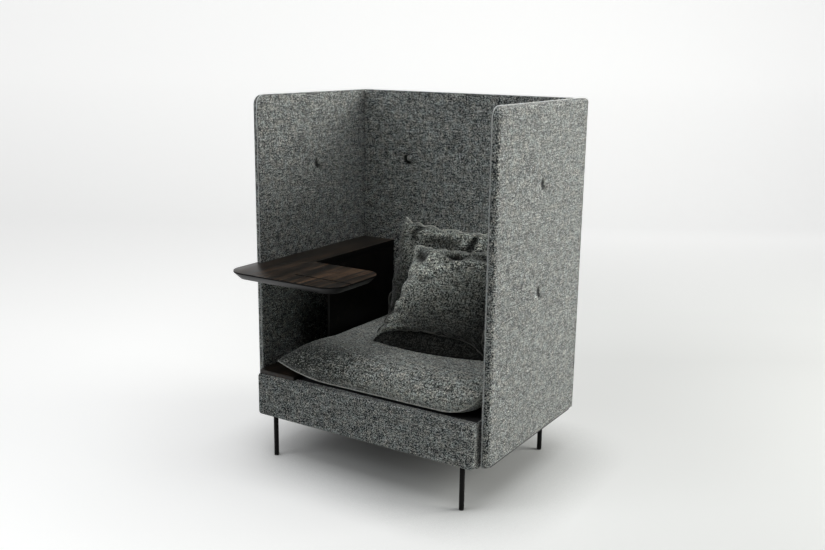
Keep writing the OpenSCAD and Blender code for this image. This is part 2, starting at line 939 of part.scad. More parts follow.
module table_top() {
    shelf_low = [shelf_gap - inner_x, return_back - table_r, table_low];
    color(wood_tone) difference() {
        union() {
            table_front_part();
            block(shelf_low - [0, table_d - 2 * table_r, 0], [shelf_right, back_face - back_gap, table_h]);
            // Fillet in the inner corner of the table
            difference() {
                block([shelf_right - notch_r, return_back - notch_r, table_h - table_edge],
                    [shelf_right + notch_r, return_back + notch_r, table_h]);
                rod_z([shelf_right + notch_r, return_back + notch_r, table_low], table_t + overrun, 2 * notch_r);
            }
        }
        // Clearance round the left panel's front edge
        block([table_left - overrun, panel_front - shelf_gap, table_low - overrun],
            [shelf_gap - inner_x, back_face, table_h + overrun]);
        // Slot for a tablet, open at the right edge
        block([table_right - slot_l, table_front + slot_in - slot_w / 2, table_h - slot_depth],
            [table_right + overrun, table_front + slot_in + slot_w / 2, table_h + overrun]);
        block(stiff_box[0] - [fit_gap, fit_gap, overrun], stiff_box[1] + [fit_gap, fit_gap, 0]);
        table_holes(0);
    }
}

// Steel plate let into the underside of the table's front part
stiff_front = table_front + table_bevel + stiff_edge;
stiff_box = [[stiff_edge - inner_x, stiff_front, table_low],
    [shelf_right - stiff_edge, stiff_front + stiff_l, table_low + steel_t]];
stiff_screw_in = 20;
stiff_screw_l = 16;
stiff_screw_xs = [stiff_box[0][0] + stiff_screw_in, stiff_box[1][0] - stiff_screw_in];
stiff_screw_ys = [
    stiff_box[0][1] + stiff_screw_in,
    (stiff_box[0][1] + stiff_box[1][1]) / 2,
    stiff_box[1][1] - stiff_screw_in
];

module stiffener_heads(extra) {
    for (x = stiff_screw_xs, y = stiff_screw_ys)
        translate([x, y, table_low])
            cylinder(h = screw_head_h, d1 = screw_head_d + 2 * extra, d2 = screw_d + 2 * extra);
}

module table_stiffener() {
    color(black_tone) difference() {
        block(stiff_box[0], stiff_box[1]);
        table_holes(hole_gap);
        stiffener_heads(hole_gap);
    }
}

module stiffener_screws() {
    color(steel_tone) {
        stiffener_heads(0);
        for (x = stiff_screw_xs, y = stiff_screw_ys)
            rod_z([x, y, table_low], stiff_screw_l, screw_d);
    }
}

// Angle brackets in the niche under the shelf, on the left panel and on the support board
support_outer = shelf_right - support_t;
bracket_hole_share = 0.6;
shelf_screw_xs = [
    bracket_hole_share * bracket_leg - inner_x,
    support_outer - bracket_hole_share * bracket_leg
];

module shelf_brackets() {
    color(black_tone) difference() {
        for (y = bracket_ys) {
            for (side = [[-inner_x, -inner_x + steel_t], [support_outer - steel_t, support_outer]])
                block([side[0], y - bracket_w / 2, table_low - bracket_leg], [side[1], y + bracket_w / 2, table_low]);
            for (side = [[-inner_x, bracket_leg - inner_x], [support_outer - bracket_leg, support_outer]])
                block([side[0], y - bracket_w / 2, table_low - steel_t], [side[1], y + bracket_w / 2, table_low]);
        }
        bracket_rods(hole_gap);
    }
}

support_screw_into = 9;

module support_screw_rods(extra) {
    for (y = bracket_ys)
        rod_x([support_outer - steel_t - extra, y, bracket_screw_z],
            support_screw_into + steel_t + 2 * extra, screw_d + 2 * extra);
}

module bracket_rods(extra) {
    panel_bracket_screws(extra);
    support_screw_rods(extra);
    for (y = bracket_ys, x = shelf_screw_xs)
        rod_z([x, y, table_low - steel_t - extra], bracket_screw_l + extra, screw_d + 2 * extra);
}

module bracket_screws() {
    color(steel_tone) {
        bracket_rods(0);
        for (y = bracket_ys) {
            rod_x([steel_t - inner_x, y, bracket_screw_z], screw_head_h, screw_head_d);
            rod_x([support_outer - steel_t - screw_head_h, y, bracket_screw_z], screw_head_h, screw_head_d);
            for (x = shelf_screw_xs)
                rod_z([x, y, table_low - steel_t - screw_head_h], screw_head_h, screw_head_d);
        }
    }
}

// Upright board that carries the shelf, on the ledge that lies on the seat box
ledge_screw_up = 35;
ledge_head_low = 3;
ledge_screw_x = shelf_right - support_t / 2;
ledge_screw_ys = [for (share = ledge_screw_shares) support_front + share * support_l];

module ledge_screw_rods(extra) {
    for (y = ledge_screw_ys)
        rod_z([ledge_screw_x, y, deck_z + ledge_head_low],
            ledge_t - ledge_head_low + ledge_screw_up, screw_d + 2 * extra);
}

module table_support() {
    color(wood_tone) difference() {
        block([support_outer, support_front, ledge_top], [shelf_right, back_face - back_gap, table_low]);
        ledge_screw_rods(0);
        support_screw_rods(0);
    }
}

module ledge_board() {
    color(wood_tone) difference() {
        block([shelf_gap - inner_x, ledge_front, deck_z], [ledge_right, back_face - back_gap, ledge_top]);
        ledge_screw_rods(hole_gap);
        for (y = ledge_screw_ys)
            rod_z([ledge_screw_x, y, deck_z - overrun],
                ledge_head_low + screw_head_h + overrun, screw_head_d + 2 * hole_gap);
    }
}

module ledge_screws() {
    color(steel_tone) {
        ledge_screw_rods(0);
        for (y = ledge_screw_ys)
            rod_z([ledge_screw_x, y, deck_z + ledge_head_low], screw_head_h, screw_head_d);
    }
}

// Soft forms. A form is two sheets of points that share their rim: a grid of shares from -1 to 1
// runs across and along it, closer together near the seams.
grid_n = 24;
function grid_share(i) = let (s = 2 * i / grid_n - 1) s * (1.35 - 0.35 * s * s);
function on_rim(i, j) = i == 0 || j == 0 || i == grid_n || j == grid_n;
function grid_at(i, j) = i * (grid_n + 1) + j;
function lower_at(i, j) = on_rim(i, j) ? grid_at(i, j) : (grid_n + 1) * (grid_n + 1) + (i - 1) * (grid_n - 1) + j - 1;
grid_faces = [
    for (i = [0 : grid_n - 1], j = [0 : grid_n - 1], k = [0 : 3])
        let (a = [i, j], b = [i + 1, j], c = [i + 1, j + 1], d = [i, j + 1], flip = (i < grid_n / 2) == (j < grid_n / 2))
        k == 0 ? (flip ? [grid_at(a[0], a[1]), grid_at(c[0], c[1]), grid_at(b[0], b[1])]
                       : [grid_at(a[0], a[1]), grid_at(d[0], d[1]), grid_at(b[0], b[1])]) :
        k == 1 ? (flip ? [grid_at(a[0], a[1]), grid_at(d[0], d[1]), grid_at(c[0], c[1])]
                       : [grid_at(b[0], b[1]), grid_at(d[0], d[1]), grid_at(c[0], c[1])]) :
        k == 2 ? (flip ? [lower_at(a[0], a[1]), lower_at(b[0], b[1]), lower_at(c[0], c[1])]
                       : [lower_at(a[0], a[1]), lower_at(b[0], b[1]), lower_at(d[0], d[1])]) :
                 (flip ? [lower_at(a[0], a[1]), lower_at(c[0], c[1]), lower_at(d[0], d[1])]
                       : [lower_at(b[0], b[1]), lower_at(c[0], c[1]), lower_at(d[0], d[1])])
];

// Swell of a stuffed form between its seams, 0 on the rim and 1 in the middle
function swell(u, v, side_power, end_power) =
    sqrt(max(0, (1 - pow(abs(u), side_power)) * (1 - pow(abs(v), end_power))));
function ease(t) = let (c = min(1, max(0, t))) c * c * (3 - 2 * c);

// Seat cushion: its front seam lies low and its left front corner is drawn out to a point
cushion_left = ledge_right + 2 * soft_gap;
cushion_right = inner_x - 2 * soft_gap;
cushion_back = back_face - 2 * soft_gap;
cushion_low = deck_z + soft_gap;
cushion_front = fascia_front + front_seam_in;
side_swell = 7;
crown = 5;
ear_share = 0.35;
front_share = 0.4;
corner_share = 0.7;
left_rise_share = 0.45;
right_rise_share = 0.6;

// How far a share has gone past a limit, from 0 at the limit to 1 at the rim
function past(t, limit) = max(0, t - limit) / (1 - limit);

// The left side runs out to the corner over the ledge, and the right front corner lies back and up
function ear_reach(v) = ear_l * pow(past(-v, ear_share), 1.6);
function front_line(u) = cushion_front + corner_back * pow(past(u, corner_share), 2);
function front_rise(u) = front_seam
    + (ear_h - front_seam) * pow(past(-u, left_rise_share), 2)
    + (right_corner_h - front_seam) * pow(past(u, right_rise_share), 3.5);
function front_weight(v) = ease(past(-v, front_share));
function seam_height(u, v) = let (w = front_weight(v)) w * front_rise(u) + (1 - w) * cushion_seam;

// The sides stand upright against the support board and slacken towards the front
function side_power(v) = 45 - 25 * front_weight(v);

function cushion_point(u, v, up) =
    let (
        f = up ? swell(u, v, side_power(v), 12) : swell(u, v, 10, 8),
        z0 = seam_height(u, v),
        x0 = cushion_left + side_swell - ear_reach(v),
        x1 = cushion_right - side_swell - corner_back / 2 * pow(past(-v, corner_share), 4),
        side = side_swell * sin(180 * f) * pow(abs(u), 5) * sign(u),
        nose = cushion_nose * sin(180 * f) * pow(max(0, -v), 5),
        x = x0 + (x1 - x0) * (u + 1) / 2,
        y = front_line(u) + (cushion_back - front_line(u)) * (v + 1) / 2,
        top = cushion_top - crown + crown * (1 - u * u) * (1 - v * v)
    )
    up ? [x + side, y - nose, z0 + (top - z0) * f] : [x, y, z0 - (z0 - cushion_low) * f * f];

module seat_cushion() {
    color(pillow_tone) difference() {
        polyhedron(
            points = concat(
                [for (i = [0 : grid_n], j = [0 : grid_n]) cushion_point(grid_share(i), grid_share(j), true)],
                [for (i = [1 : grid_n - 1], j = [1 : grid_n - 1]) cushion_point(grid_share(i), grid_share(j), false)]
            ),
            faces = grid_faces,
            convexity = 4
        );
        // Pressed flat on the ledge
        block([-inner_x, ledge_front - cushion_nose, deck_z],
            [ledge_right + soft_gap, back_face, ledge_top + soft_gap]);
    }
}

// A square pillow with knife edges, whose sides and ends draw in between its corners by a share
module pillow(w, h, t, side_share, end_share) {
    function point(u, v, side) = [
        w / 2 * u * (1 - side_share * (1 - pow(v, 4))),
        h / 2 * v * (1 - end_share * (1 - pow(u, 4))),
        side * t / 2 * pow(swell(u, v, 2.4, 2.4), 1.15)
    ];
    polyhedron(
        points = concat(
            [for (i = [0 : grid_n], j = [0 : grid_n]) point(grid_share(i), grid_share(j), 1)],
            [for (i = [1 : grid_n - 1], j = [1 : grid_n - 1]) point(grid_share(i), grid_share(j), -1)]
        ),
        faces = grid_faces,
        convexity = 4
    );
}

// The middles of the pillows. Their lower corners sink a little into the cushion's crown.
pillow_sink = 6;
pillow_floor = cushion_top + soft_gap;
pillow_back = back_face - button_proud - soft_gap;

function pillow_middle(x, out, h, lean) = [
    x,
    back_face - out + h / 2 * sin(lean),
    cushion_top - pillow_sink + h / 2 * cos(lean)
];
rear_middle = pillow_middle(-rear_shift, rear_out, rear_h, rear_lean);
front_middle = pillow_middle(front_shift, front_out, front_h, front_lean);

// Keeps what lies above the cushion and in front of the back panel
module pillow_room() {
    block([shelf_right, panel_front, pillow_floor], [inner_x, pillow_back, overall_h]);
}

module rear_pillow_shape() {
    translate(rear_middle) rotate([90 - rear_lean, 0, 0]) pillow(rear_w, rear_h, rear_t, 0.04, 0.14);
}

module front_pillow_shape() {
    translate(front_middle) rotate([90 - front_lean, 0, 0]) rotate([0, 0, front_turn])
        pillow(front_w, front_h, front_t, 0.12, 0.08);
}

// The pillows press on each other at a plane between their middles, on the mean of their leans
contact = (rear_middle + front_middle) / 2;
contact_lean = (rear_lean + front_lean) / 2;

module behind_contact(gap) {
    translate([-overall_h / 2, contact[1], contact[2]]) rotate([-contact_lean, 0, 0])
        translate([0, gap, -overall_h / 2]) cube(overall_h);
}

module rear_pillow() {
    color(pillow_tone) intersection() {
        rear_pillow_shape();
        pillow_room();
        behind_contact(soft_gap);
    }
}

module front_pillow() {
    color(pillow_tone) difference() {
        intersection() {
            front_pillow_shape();
            pillow_room();
        }
        behind_contact(0);
    }
}

left_panel_cover();
left_panel_frame();
left_panel_infill();
left_panel_buttons();
right_panel_cover();
right_panel_frame();
right_panel_infill();
right_panel_buttons();
back_panel_cover();
back_panel_frame();
back_panel_infill();
back_panel_buttons();
panel_bottom_strips();
tufting_ties();
corner_studs();
fascia_cover();
fascia_board();
fascia_screws();
front_frame_rail();
rear_frame_rail();
side_frame_rails();
centre_rail();
corner_blocks();
side_skirts();
seat_webbing();
deck_pad();
deck_cloth();
dust_cover();
panel_bolts();
bolt_washers();
spacer_sleeves();
legs();
leg_plates();
leg_plate_screws();
leg_studs();
leg_glides();
table_top();
table_stiffener();
stiffener_screws();
table_support();
ledge_board();
ledge_screws();
shelf_brackets();
bracket_screws();
seat_cushion();
rear_pillow();
front_pillow();
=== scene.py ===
from math import ceil, cos, exp, hypot, pi, radians, sin, sqrt
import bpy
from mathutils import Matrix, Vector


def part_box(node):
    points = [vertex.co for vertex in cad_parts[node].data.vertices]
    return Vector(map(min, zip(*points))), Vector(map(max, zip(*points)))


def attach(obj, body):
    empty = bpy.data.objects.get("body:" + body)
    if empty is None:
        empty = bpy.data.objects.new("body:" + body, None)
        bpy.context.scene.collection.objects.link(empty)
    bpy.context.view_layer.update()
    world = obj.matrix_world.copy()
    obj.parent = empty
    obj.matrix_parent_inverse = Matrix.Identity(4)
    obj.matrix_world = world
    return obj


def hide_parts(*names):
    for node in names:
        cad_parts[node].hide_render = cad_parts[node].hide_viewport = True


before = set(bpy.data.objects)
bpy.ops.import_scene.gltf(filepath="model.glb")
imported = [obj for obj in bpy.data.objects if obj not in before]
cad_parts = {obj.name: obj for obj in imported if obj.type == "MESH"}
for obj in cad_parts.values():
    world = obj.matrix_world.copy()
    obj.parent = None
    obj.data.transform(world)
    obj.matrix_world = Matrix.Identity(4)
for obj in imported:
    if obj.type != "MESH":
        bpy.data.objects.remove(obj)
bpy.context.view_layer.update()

from types import SimpleNamespace

import bmesh
import bpy
from mathutils import Matrix, Vector, noise


# Camera. The photograph is 825 pixels wide. Its focal length in pixels and the camera's place and
# turn follow from the straight edges of the panels and the fascia.
image_width_px = 825
focal_px = 968.9
sensor_width = 36.0
camera_place = Vector((1.863, -2.912, 1.527))
camera_heading, camera_tilt, camera_roll = 0.5632, 0.2326, 0.0132

camera = bpy.data.objects.new("camera", bpy.data.cameras.new("camera"))
bpy.context.scene.collection.objects.link(camera)
camera.data.sensor_width = sensor_width
camera.data.lens = sensor_width * focal_px / image_width_px
camera.matrix_world = (
    Matrix.Translation(camera_place)
    @ Matrix.Rotation(camera_heading, 4, "Z")
    @ Matrix.Rotation(pi / 2 - camera_tilt, 4, "X")
    @ Matrix.Rotation(camera_roll, 4, "Z")
)
bpy.context.scene.camera = camera
bpy.context.scene.view_settings.view_transform = "Standard"


# Studio. A pale paper floor runs up into a pale wall behind the chair. Soft lamps stand around it, and
# the world adds an even fill. To the camera the paper also glows: more on the left and far away, as in
# the photograph, and less where the chair shades it.
mm = 0.001
floor_half = 9.0
wall_distance = 6.0
wall_height = 6.0
cove_radius = 1.2
cove_steps = 24
paper_tone = (0.56, 0.57, 0.56, 1)
sky_tone = (0.97, 0.985, 1.0, 1)
even_fill, seen_white = 0.02, 0.93
# Strengths of the glow, and where on the floor it changes, in metres to the right and to the back
left_glow, right_glow, far_glow, wall_glow = 0.70, 0.29, 0.69, 0.77
left_edge, right_edge = -1.6, 1.4
back_fade, front_fade = (1.2, 4.4), (-1.1, -2.6)
# The chair's shade on the glow: how far it reaches, and how it deepens from left to right
shade_reach = 0.31
shade_edges, shade_powers = (-0.65, -0.05), (1.1, 3.3)


def set_inputs(tree, node, ins):
    """Sets inputs of a node. Each is a value or a socket of another node."""
    for key, value in ins.items():
        if isinstance(value, bpy.types.NodeSocket):
            tree.links.new(value, node.inputs[key])
        else:
            node.inputs[key].default_value = value


def add_node(tree, kind, ins=None, **settings):
    """A shader or geometry node with its settings and inputs."""
    made = tree.nodes.new(kind)
    for key, value in settings.items():
        setattr(made, key, value)
    set_inputs(tree, made, ins or {})
    return made


def calculate(tree, operation, *values):
    """The result of a Math node."""
    return add_node(tree, "ShaderNodeMath", dict(enumerate(values)), operation=operation).outputs[0]


def combine(tree, operation, first, second):
    """The result of a Vector Math node. For SCALE the second value is a number."""
    ins = {0: first, "Scale" if operation == "SCALE" else 1: second}
    made = add_node(tree, "ShaderNodeVectorMath", ins, operation=operation)
    return made.outputs["Value" if operation == "DOT_PRODUCT" else "Vector"]


def remap(tree, value, low, high, first=0.0, last=1.0, **settings):
    """A value that runs from first to last while the given one runs from low to high."""
    ins = {0: value, 1: low, 2: high, 3: first, 4: last}
    return add_node(tree, "ShaderNodeMapRange", ins, **settings).outputs[0]


def new_material(name):
    """A material, its tree and its Principled shader."""
    material = bpy.data.materials.new(name)
    material.use_nodes = True
    return material, material.node_tree, material.node_tree.nodes["Principled BSDF"]


def new_object(name, data):
    made = bpy.data.objects.new(name, data)
    bpy.context.scene.collection.objects.link(made)
    return made


def new_mesh(name, points, faces, edges=()):
    """A mesh with smooth faces."""
    mesh = bpy.data.meshes.new(name)
    mesh.from_pydata(points, edges, faces, shade_flat=False)
    return mesh


def backdrop_mesh():
    """Floor and wall as one sheet with a round cove between them."""
    profile = [(-floor_half, 0.0), (wall_distance - cove_radius, 0.0)]
    for step in range(1, cove_steps + 1):
        angle = pi / 2 * step / cove_steps
        profile.append((wall_distance + cove_radius * (sin(angle) - 1), cove_radius * (1 - cos(angle))))
    profile.append((wall_distance, wall_height))
    points = [(side * floor_half, y, z) for y, z in profile for side in (-1, 1)]
    faces = [(2 * i, 2 * i + 1, 2 * i + 3, 2 * i + 2) for i in range(len(profile) - 1)]
    mesh = new_mesh("backdrop", points, faces)
    mesh.transform(Matrix.Rotation(camera_heading, 4, "Z"))
    return mesh


backdrop = new_object("backdrop", backdrop_mesh())
paper, tree, shader = new_material("studio_paper")
spot = add_node(tree, "ShaderNodeNewGeometry").outputs["Position"]
to_right = combine(tree, "DOT_PRODUCT", spot, (cos(camera_heading), sin(camera_heading), 0.0))
to_back = combine(tree, "DOT_PRODUCT", spot, (-sin(camera_heading), cos(camera_heading), 0.0))
height = add_node(tree, "ShaderNodeSeparateXYZ", {0: spot}).outputs[2]
glow = remap(tree, to_right, left_edge, right_edge, left_glow, right_glow, interpolation_type="SMOOTHSTEP")
for fade_from, fade_to in (back_fade, front_fade):
    glow = remap(tree, to_back, fade_from, fade_to, glow, far_glow)
glow = remap(tree, height, 0.0, cove_radius, glow, wall_glow)
unshaded = add_node(tree, "ShaderNodeAmbientOcclusion", {"Distance": shade_reach}, samples=8).outputs["AO"]
kept = calculate(tree, "POWER", unshaded, remap(tree, to_right, *shade_edges, *shade_powers))
path = add_node(tree, "ShaderNodeLightPath").outputs
seen = calculate(tree, "MAXIMUM", path["Is Camera Ray"], path["Is Glossy Ray"])
glow = calculate(tree, "MULTIPLY", calculate(tree, "MULTIPLY", seen, kept), glow)
set_inputs(tree, shader, {
    "Base Color": paper_tone, "Roughness": 0.9, "Emission Color": (1, 1, 1, 1), "Emission Strength": glow})
backdrop.data.materials.append(paper)

world = bpy.data.worlds.new("studio")
world.use_nodes = True
tree = world.node_tree
path = add_node(tree, "ShaderNodeLightPath").outputs
level = remap(tree, path["Is Camera Ray"], 0.0, 1.0, even_fill, seen_white)
set_inputs(tree, tree.nodes["Background"], {"Color": sky_tone, "Strength": level})
bpy.context.scene.world = world

# Each lamp: place, point that it faces, width and height, watts, colour
lamps = {
    "right_lamp": ((4.1, 2.2, 2.2), (0.4, 0.1, 0.8), 3.0, 2.2, 184.0, (1.0, 0.995, 0.955)),
    "top_lamp": ((1.3, 0.3, 4.0), (0.1, 0.1, 0.5), 1.6, 1.6, 24.0, (0.98, 0.99, 1.0)),
    "front_lamp": ((-0.2, -1.6, 4.2), (0.0, 0.0, 0.6), 2.0, 1.6, 30.0, (0.98, 0.99, 1.0)),
    "left_lamp": ((-2.5, -3.5, 2.9), (0.0, 0.0, 0.6), 2.2, 1.8, 44.0, (0.96, 0.985, 1.0)),
    "rear_lamp": ((1.2, 3.2, 4.2), (0.1, 0.2, 1.0), 2.6, 1.6, 30.0, (1.0, 1.0, 0.97)),
}
for name, (stand, target, width, height, power, tint) in lamps.items():
    lamp = bpy.data.lights.new(name, "AREA")
    lamp.shape, lamp.size, lamp.size_y, lamp.energy, lamp.color = "RECTANGLE", width, height, power, tint
    lamp_object = new_object(name, lamp)
    lamp_object.location = stand
    lamp_object.rotation_euler = (Vector(target) - Vector(stand)).to_track_quat("-Z", "Y").to_euler()
    lamp_object.visible_camera = False


# Side panels. Each is a padded board in melange wool: a flat inner piece and an outer piece that wraps
# the edges are sewn together in a groove near the inner face. Buttons draw dimples into both faces.
side_t = 30 * mm
inner_round = 4.5 * mm
outer_round = 18 * mm
top_corner_r = 36 * mm
low_corner_r = 20 * mm
seam_at = 6 * mm
seam_welt_r = 1.8 * mm
seam_half = 1.1 * mm
seam_depth = 1.8 * mm
# Where the groove's walls bend, in shares of its depth and half width
seam_bend = (0.35, 0.55)
near_steps, far_steps = 6, 12
face_cell = 5.5 * mm
corner_cells = 6
button_r = 14 * mm
dimple_r = 32 * mm
dimple_depth = 2.6 * mm
crease_depth = 4.7 * mm
crease_r = 15.0 * mm
crease_edge = 5 * mm
near_pull, far_pull, pull_reach = 0.6, 0.4, 6 * dimple_r
pucker_depth = 1.8 * mm
pucker_waves, least_pucker, pucker_swing = 2.4, 0.6, 1.8
slack_depth, slack_waves = 0.8 * mm, 6.0
ripple_depth, ripple_waves = 0.25 * mm, 28.0
flat_edge = 30 * mm
# Painted shade and painted highlight by a button: a dark rim, a darker crescent on the side away from the
# light, down and forward, a painted highlight on a lip beyond it and a faint dark dimple. Each has a weight,
# a radius and a width
# Where the light comes from, in the board's plane: the painted shade falls on the other side
towards_light = (0.85, 0.53)
rim_shade = (0.35, crease_r, 5 * mm)
crescent_shade = (1.7, 1.25 * crease_r, 9 * mm)
lip_highlight = (-0.50, 2.55 * crease_r, 6 * mm)
dimple_shade = (0.10, 0.0, dimple_r)
crescent_falloff, button_shade_reach, darkest_button_shade = 1.3, 3 * dimple_r, 0.96
panel_wool = (0.98, 0.97, 0.89), (0.022, 0.026, 0.029)
# The seam cord's wool is painted pale: a painted highlight along the panels' seams
seam_highlight_wool = (0.95, 0.94, 0.90), (0.55, 0.56, 0.54)
seam_counts = (120, 200)


def arc(centre, radius, start, end, steps):
    """Points of an arc in the plane, angles in degrees, without its first point."""
    angles = [radians(start + (end - start) * step / steps) for step in range(1, steps + 1)]
    return [(centre[0] + radius * cos(a), centre[1] + radius * sin(a)) for a in angles]


def edge_profile(thickness, near_round, far_round, seam):
    """The edge of a padded board from the inner face to the outer: (inset, depth) pairs."""
    points = [(near_round, 0.0)] + arc((near_round, near_round), near_round, 270, 180, near_steps)
    if seam:
        points += [
            (0.0, seam_at - seam_half),
            (seam_depth * seam_bend[0], seam_at - seam_half * seam_bend[1]),
            (seam_depth, seam_at),
            (seam_depth * seam_bend[0], seam_at + seam_half * seam_bend[1]),
            (0.0, seam_at + seam_half),
        ]
    points.append((0.0, thickness - far_round))
    points += arc((far_round, thickness - far_round), far_round, 180, 90, far_steps)
    return points


def outline_sides(box, radii, inset, counts):
    """The four sides of a rounded rectangle, each from middle of corner to middle of corner:
    bottom, right, top and left. Points run anticlockwise, (a, b) in the board's plane."""
    a0, a1, b0, b1 = box
    corners = [(a0, b0, 1, 1, 180), (a1, b0, -1, 1, 270), (a1, b1, -1, -1, 0), (a0, b1, 1, -1, 90)]
    halves = []
    for (a, b, da, db, start), radius in zip(corners, radii):
        centre = (a + da * radius, b + db * radius)
        r = radius - inset
        first = arc(centre, r, start, start + 45, corner_cells)
        second = arc(centre, r, start + 45, start + 90, corner_cells)
        begin = (centre[0] + r * cos(radians(start)), centre[1] + r * sin(radians(start)))
        halves.append(([begin] + first, [first[-1]] + second))
    sides = []
    for side in range(4):
        start_half, end_half = halves[side][1], halves[(side + 1) % 4][0]
        p, q = start_half[-1], end_half[0]
        count = counts[side % 2]
        straight = [tuple(p[k] + (q[k] - p[k]) * i / count for k in (0, 1)) for i in range(1, count)]
        sides.append(start_half + straight + end_half)
    return sides


def outline_loop(box, radii, inset, counts):
    """The four sides as one loop of points."""
    return [p for side in outline_sides(box, radii, inset, counts) for p in side[:-1]]


def fill_grid(sides):
    """Points of a patch between four sides, row by row, blended from its border, and their counts."""
    bottom, right, top, left = sides[0], sides[1], sides[2][::-1], sides[3][::-1]
    across, up = len(bottom), len(right)
    grid = []
    for j in range(up):
        v = j / (up - 1)
        for i in range(across):
            u = i / (across - 1)
            grid.append(tuple(
                (1 - v) * bottom[i][k] + v * top[i][k] + (1 - u) * left[j][k] + u * right[j][k]
                - (1 - u) * (1 - v) * bottom[0][k] - u * (1 - v) * bottom[-1][k]
                - (1 - u) * v * top[0][k] - u * v * top[-1][k]
                for k in (0, 1)))
    return grid, across, up


def face_dip(a, b, buttons, seed):
    """How far a padded face lies back from its plane at (a, b): slack, dimples and their puckers."""
    dip = slack_depth * (0.5 + 0.5 * noise.noise(Vector((a * slack_waves, b * slack_waves, seed))))
    dip += ripple_depth * (1 + noise.noise(Vector((a * ripple_waves, b * ripple_waves, seed + 5))))
    for button_a, button_b in buttons:
        da, db = a - button_a, b - button_b
        r = hypot(da, db)
        if r > pull_reach:
            continue
        beyond = max(0.0, r - crease_r)
        pull = near_pull * exp(-beyond / crease_edge) + far_pull * exp(-beyond / dimple_r)
        around = pucker_waves / max(r, mm)
        spot = Vector((da * around, db * around, seed + button_b * 9))
        pucker = least_pucker + pucker_swing * noise.noise(spot)
        dip += pucker_depth * pucker * exp(-beyond / dimple_r) * min(1.0, beyond / crease_edge)
        dip = min(dip * (1 - pull) + crease_depth * pull, crease_depth)
    return dip


def painted_button_shade(a, b, buttons):
    """Painted shade beside the buttons, mostly below and in front of them, away from the light, and a painted
    highlight beyond.
    """
    total = 0.0
    for button_a, button_b in buttons:
        da, db = a - button_a, b - button_b
        r = hypot(da, db)
        if r < button_shade_reach:
            facing = max(0.0, -(towards_light[0] * da + towards_light[1] * db) / max(r, mm))
            for share, (weight, radius, width) in (
                    (1, rim_shade), (facing ** crescent_falloff, crescent_shade), (facing, lip_highlight),
                    (1, dimple_shade)):
                total += share * weight * exp(-((r - radius) / width) ** 2)
    return min(total, darkest_button_shade)


def ring_faces(first, second):
    """Faces between two closed rings of point numbers."""
    after = [(i + 1) % len(first) for i in range(len(first))]
    return [(first[i], second[i], second[j], first[j]) for i, j in enumerate(after)]


def padded_board(name, box, radii, thickness, profile, place, buttons=(), seed=0.0, cell=face_cell):
    """A closed padded board. place(a, b, depth) puts a point of the board's plane into the chair,
    where depth runs from the inner face to the outer one."""
    a0, a1, b0, b1 = box
    counts = (max(4, ceil((a1 - a0) / cell)), max(4, ceil((b1 - b0) / cell)))
    points, faces = [], []
    rings = []
    for inset, depth in profile:
        loop = outline_loop(box, radii, inset, counts)
        rings.append(range(len(points), len(points) + len(loop)))
        points += [(a, b, depth) for a, b in loop]
    for ring, following in zip(rings, rings[1:]):
        faces += ring_faces(ring, following)
    for (inset, depth), order in ((profile[0], 1), (profile[-1], -1)):
        grid, across, up = fill_grid(outline_sides(box, radii, inset, counts))
        corners = [len(points) + j * across + i for j in range(up - 1) for i in range(across - 1)]
        faces += [(n, n + 1, n + 1 + across, n + across)[::order] for n in corners]
        points += [(a, b, depth) for a, b in grid]
    placed, shades = [], []
    for a, b, depth in points:
        edge = min(a - a0, a1 - a, b - b0, b1 - b)
        # Painted shade and painted highlight by the buttons
        shades.append(painted_button_shade(a, b, buttons))
        flat = min(1.0, max(0.0, edge - inner_round) / flat_edge)
        if depth < mm / 10:
            depth += flat * face_dip(a, b, buttons, seed)
        elif depth > thickness - mm / 10:
            depth -= flat * face_dip(a, b, buttons, seed + 3.7)
        placed.append(place(a, b, depth))
    mesh = new_mesh(name, placed, faces)
    mesh.attributes.new("shade", "FLOAT", "POINT").data.foreach_set("value", shades)
    return finish_mesh(mesh)


def finish_mesh(mesh):
    """Merges doubles, turns every face outwards and lays a map in metres on the faces."""
    form = bmesh.new()
    form.from_mesh(mesh)
    bmesh.ops.remove_doubles(form, verts=form.verts, dist=mm / 100)
    bmesh.ops.recalc_face_normals(form, faces=form.faces)
    layer = form.loops.layers.uv.new("UVMap")
    for face in form.faces:
        normal = [abs(n) for n in face.normal]
        a, b = ((1, 2), (0, 2), (0, 1))[normal.index(max(normal))]
        for corner in face.loops:
            corner[layer].uv = (corner.vert.co[a], corner.vert.co[b])
    form.to_mesh(mesh)
    form.free()
    return mesh


def new_group(name, kind, inputs, outputs):
    """An empty node group with its sockets (name, kind), what it is given, and its output node."""
    group = bpy.data.node_groups.new(name, kind)
    for direction, sockets in (("INPUT", inputs), ("OUTPUT", outputs)):
        for label, socket_kind in sockets:
            group.interface.new_socket(label, in_out=direction, socket_type="NodeSocket" + socket_kind)
    return group, group.nodes.new("NodeGroupInput").outputs, group.nodes.new("NodeGroupOutput")


def cloud(tree, place, scale, detail, roughness=0.5):
    """The value of a noise texture."""
    ins = {"Vector": place, "Scale": scale, "Detail": detail, "Roughness": roughness}
    return add_node(tree, "ShaderNodeTexNoise", ins).outputs[0]


def mixed(tree, share, first, second, **settings):
    """A colour that goes from first to second with its share."""
    ins = {0: share, 6: first, 7: second}
    return add_node(tree, "ShaderNodeMix", ins, data_type="RGBA", **settings).outputs[2]


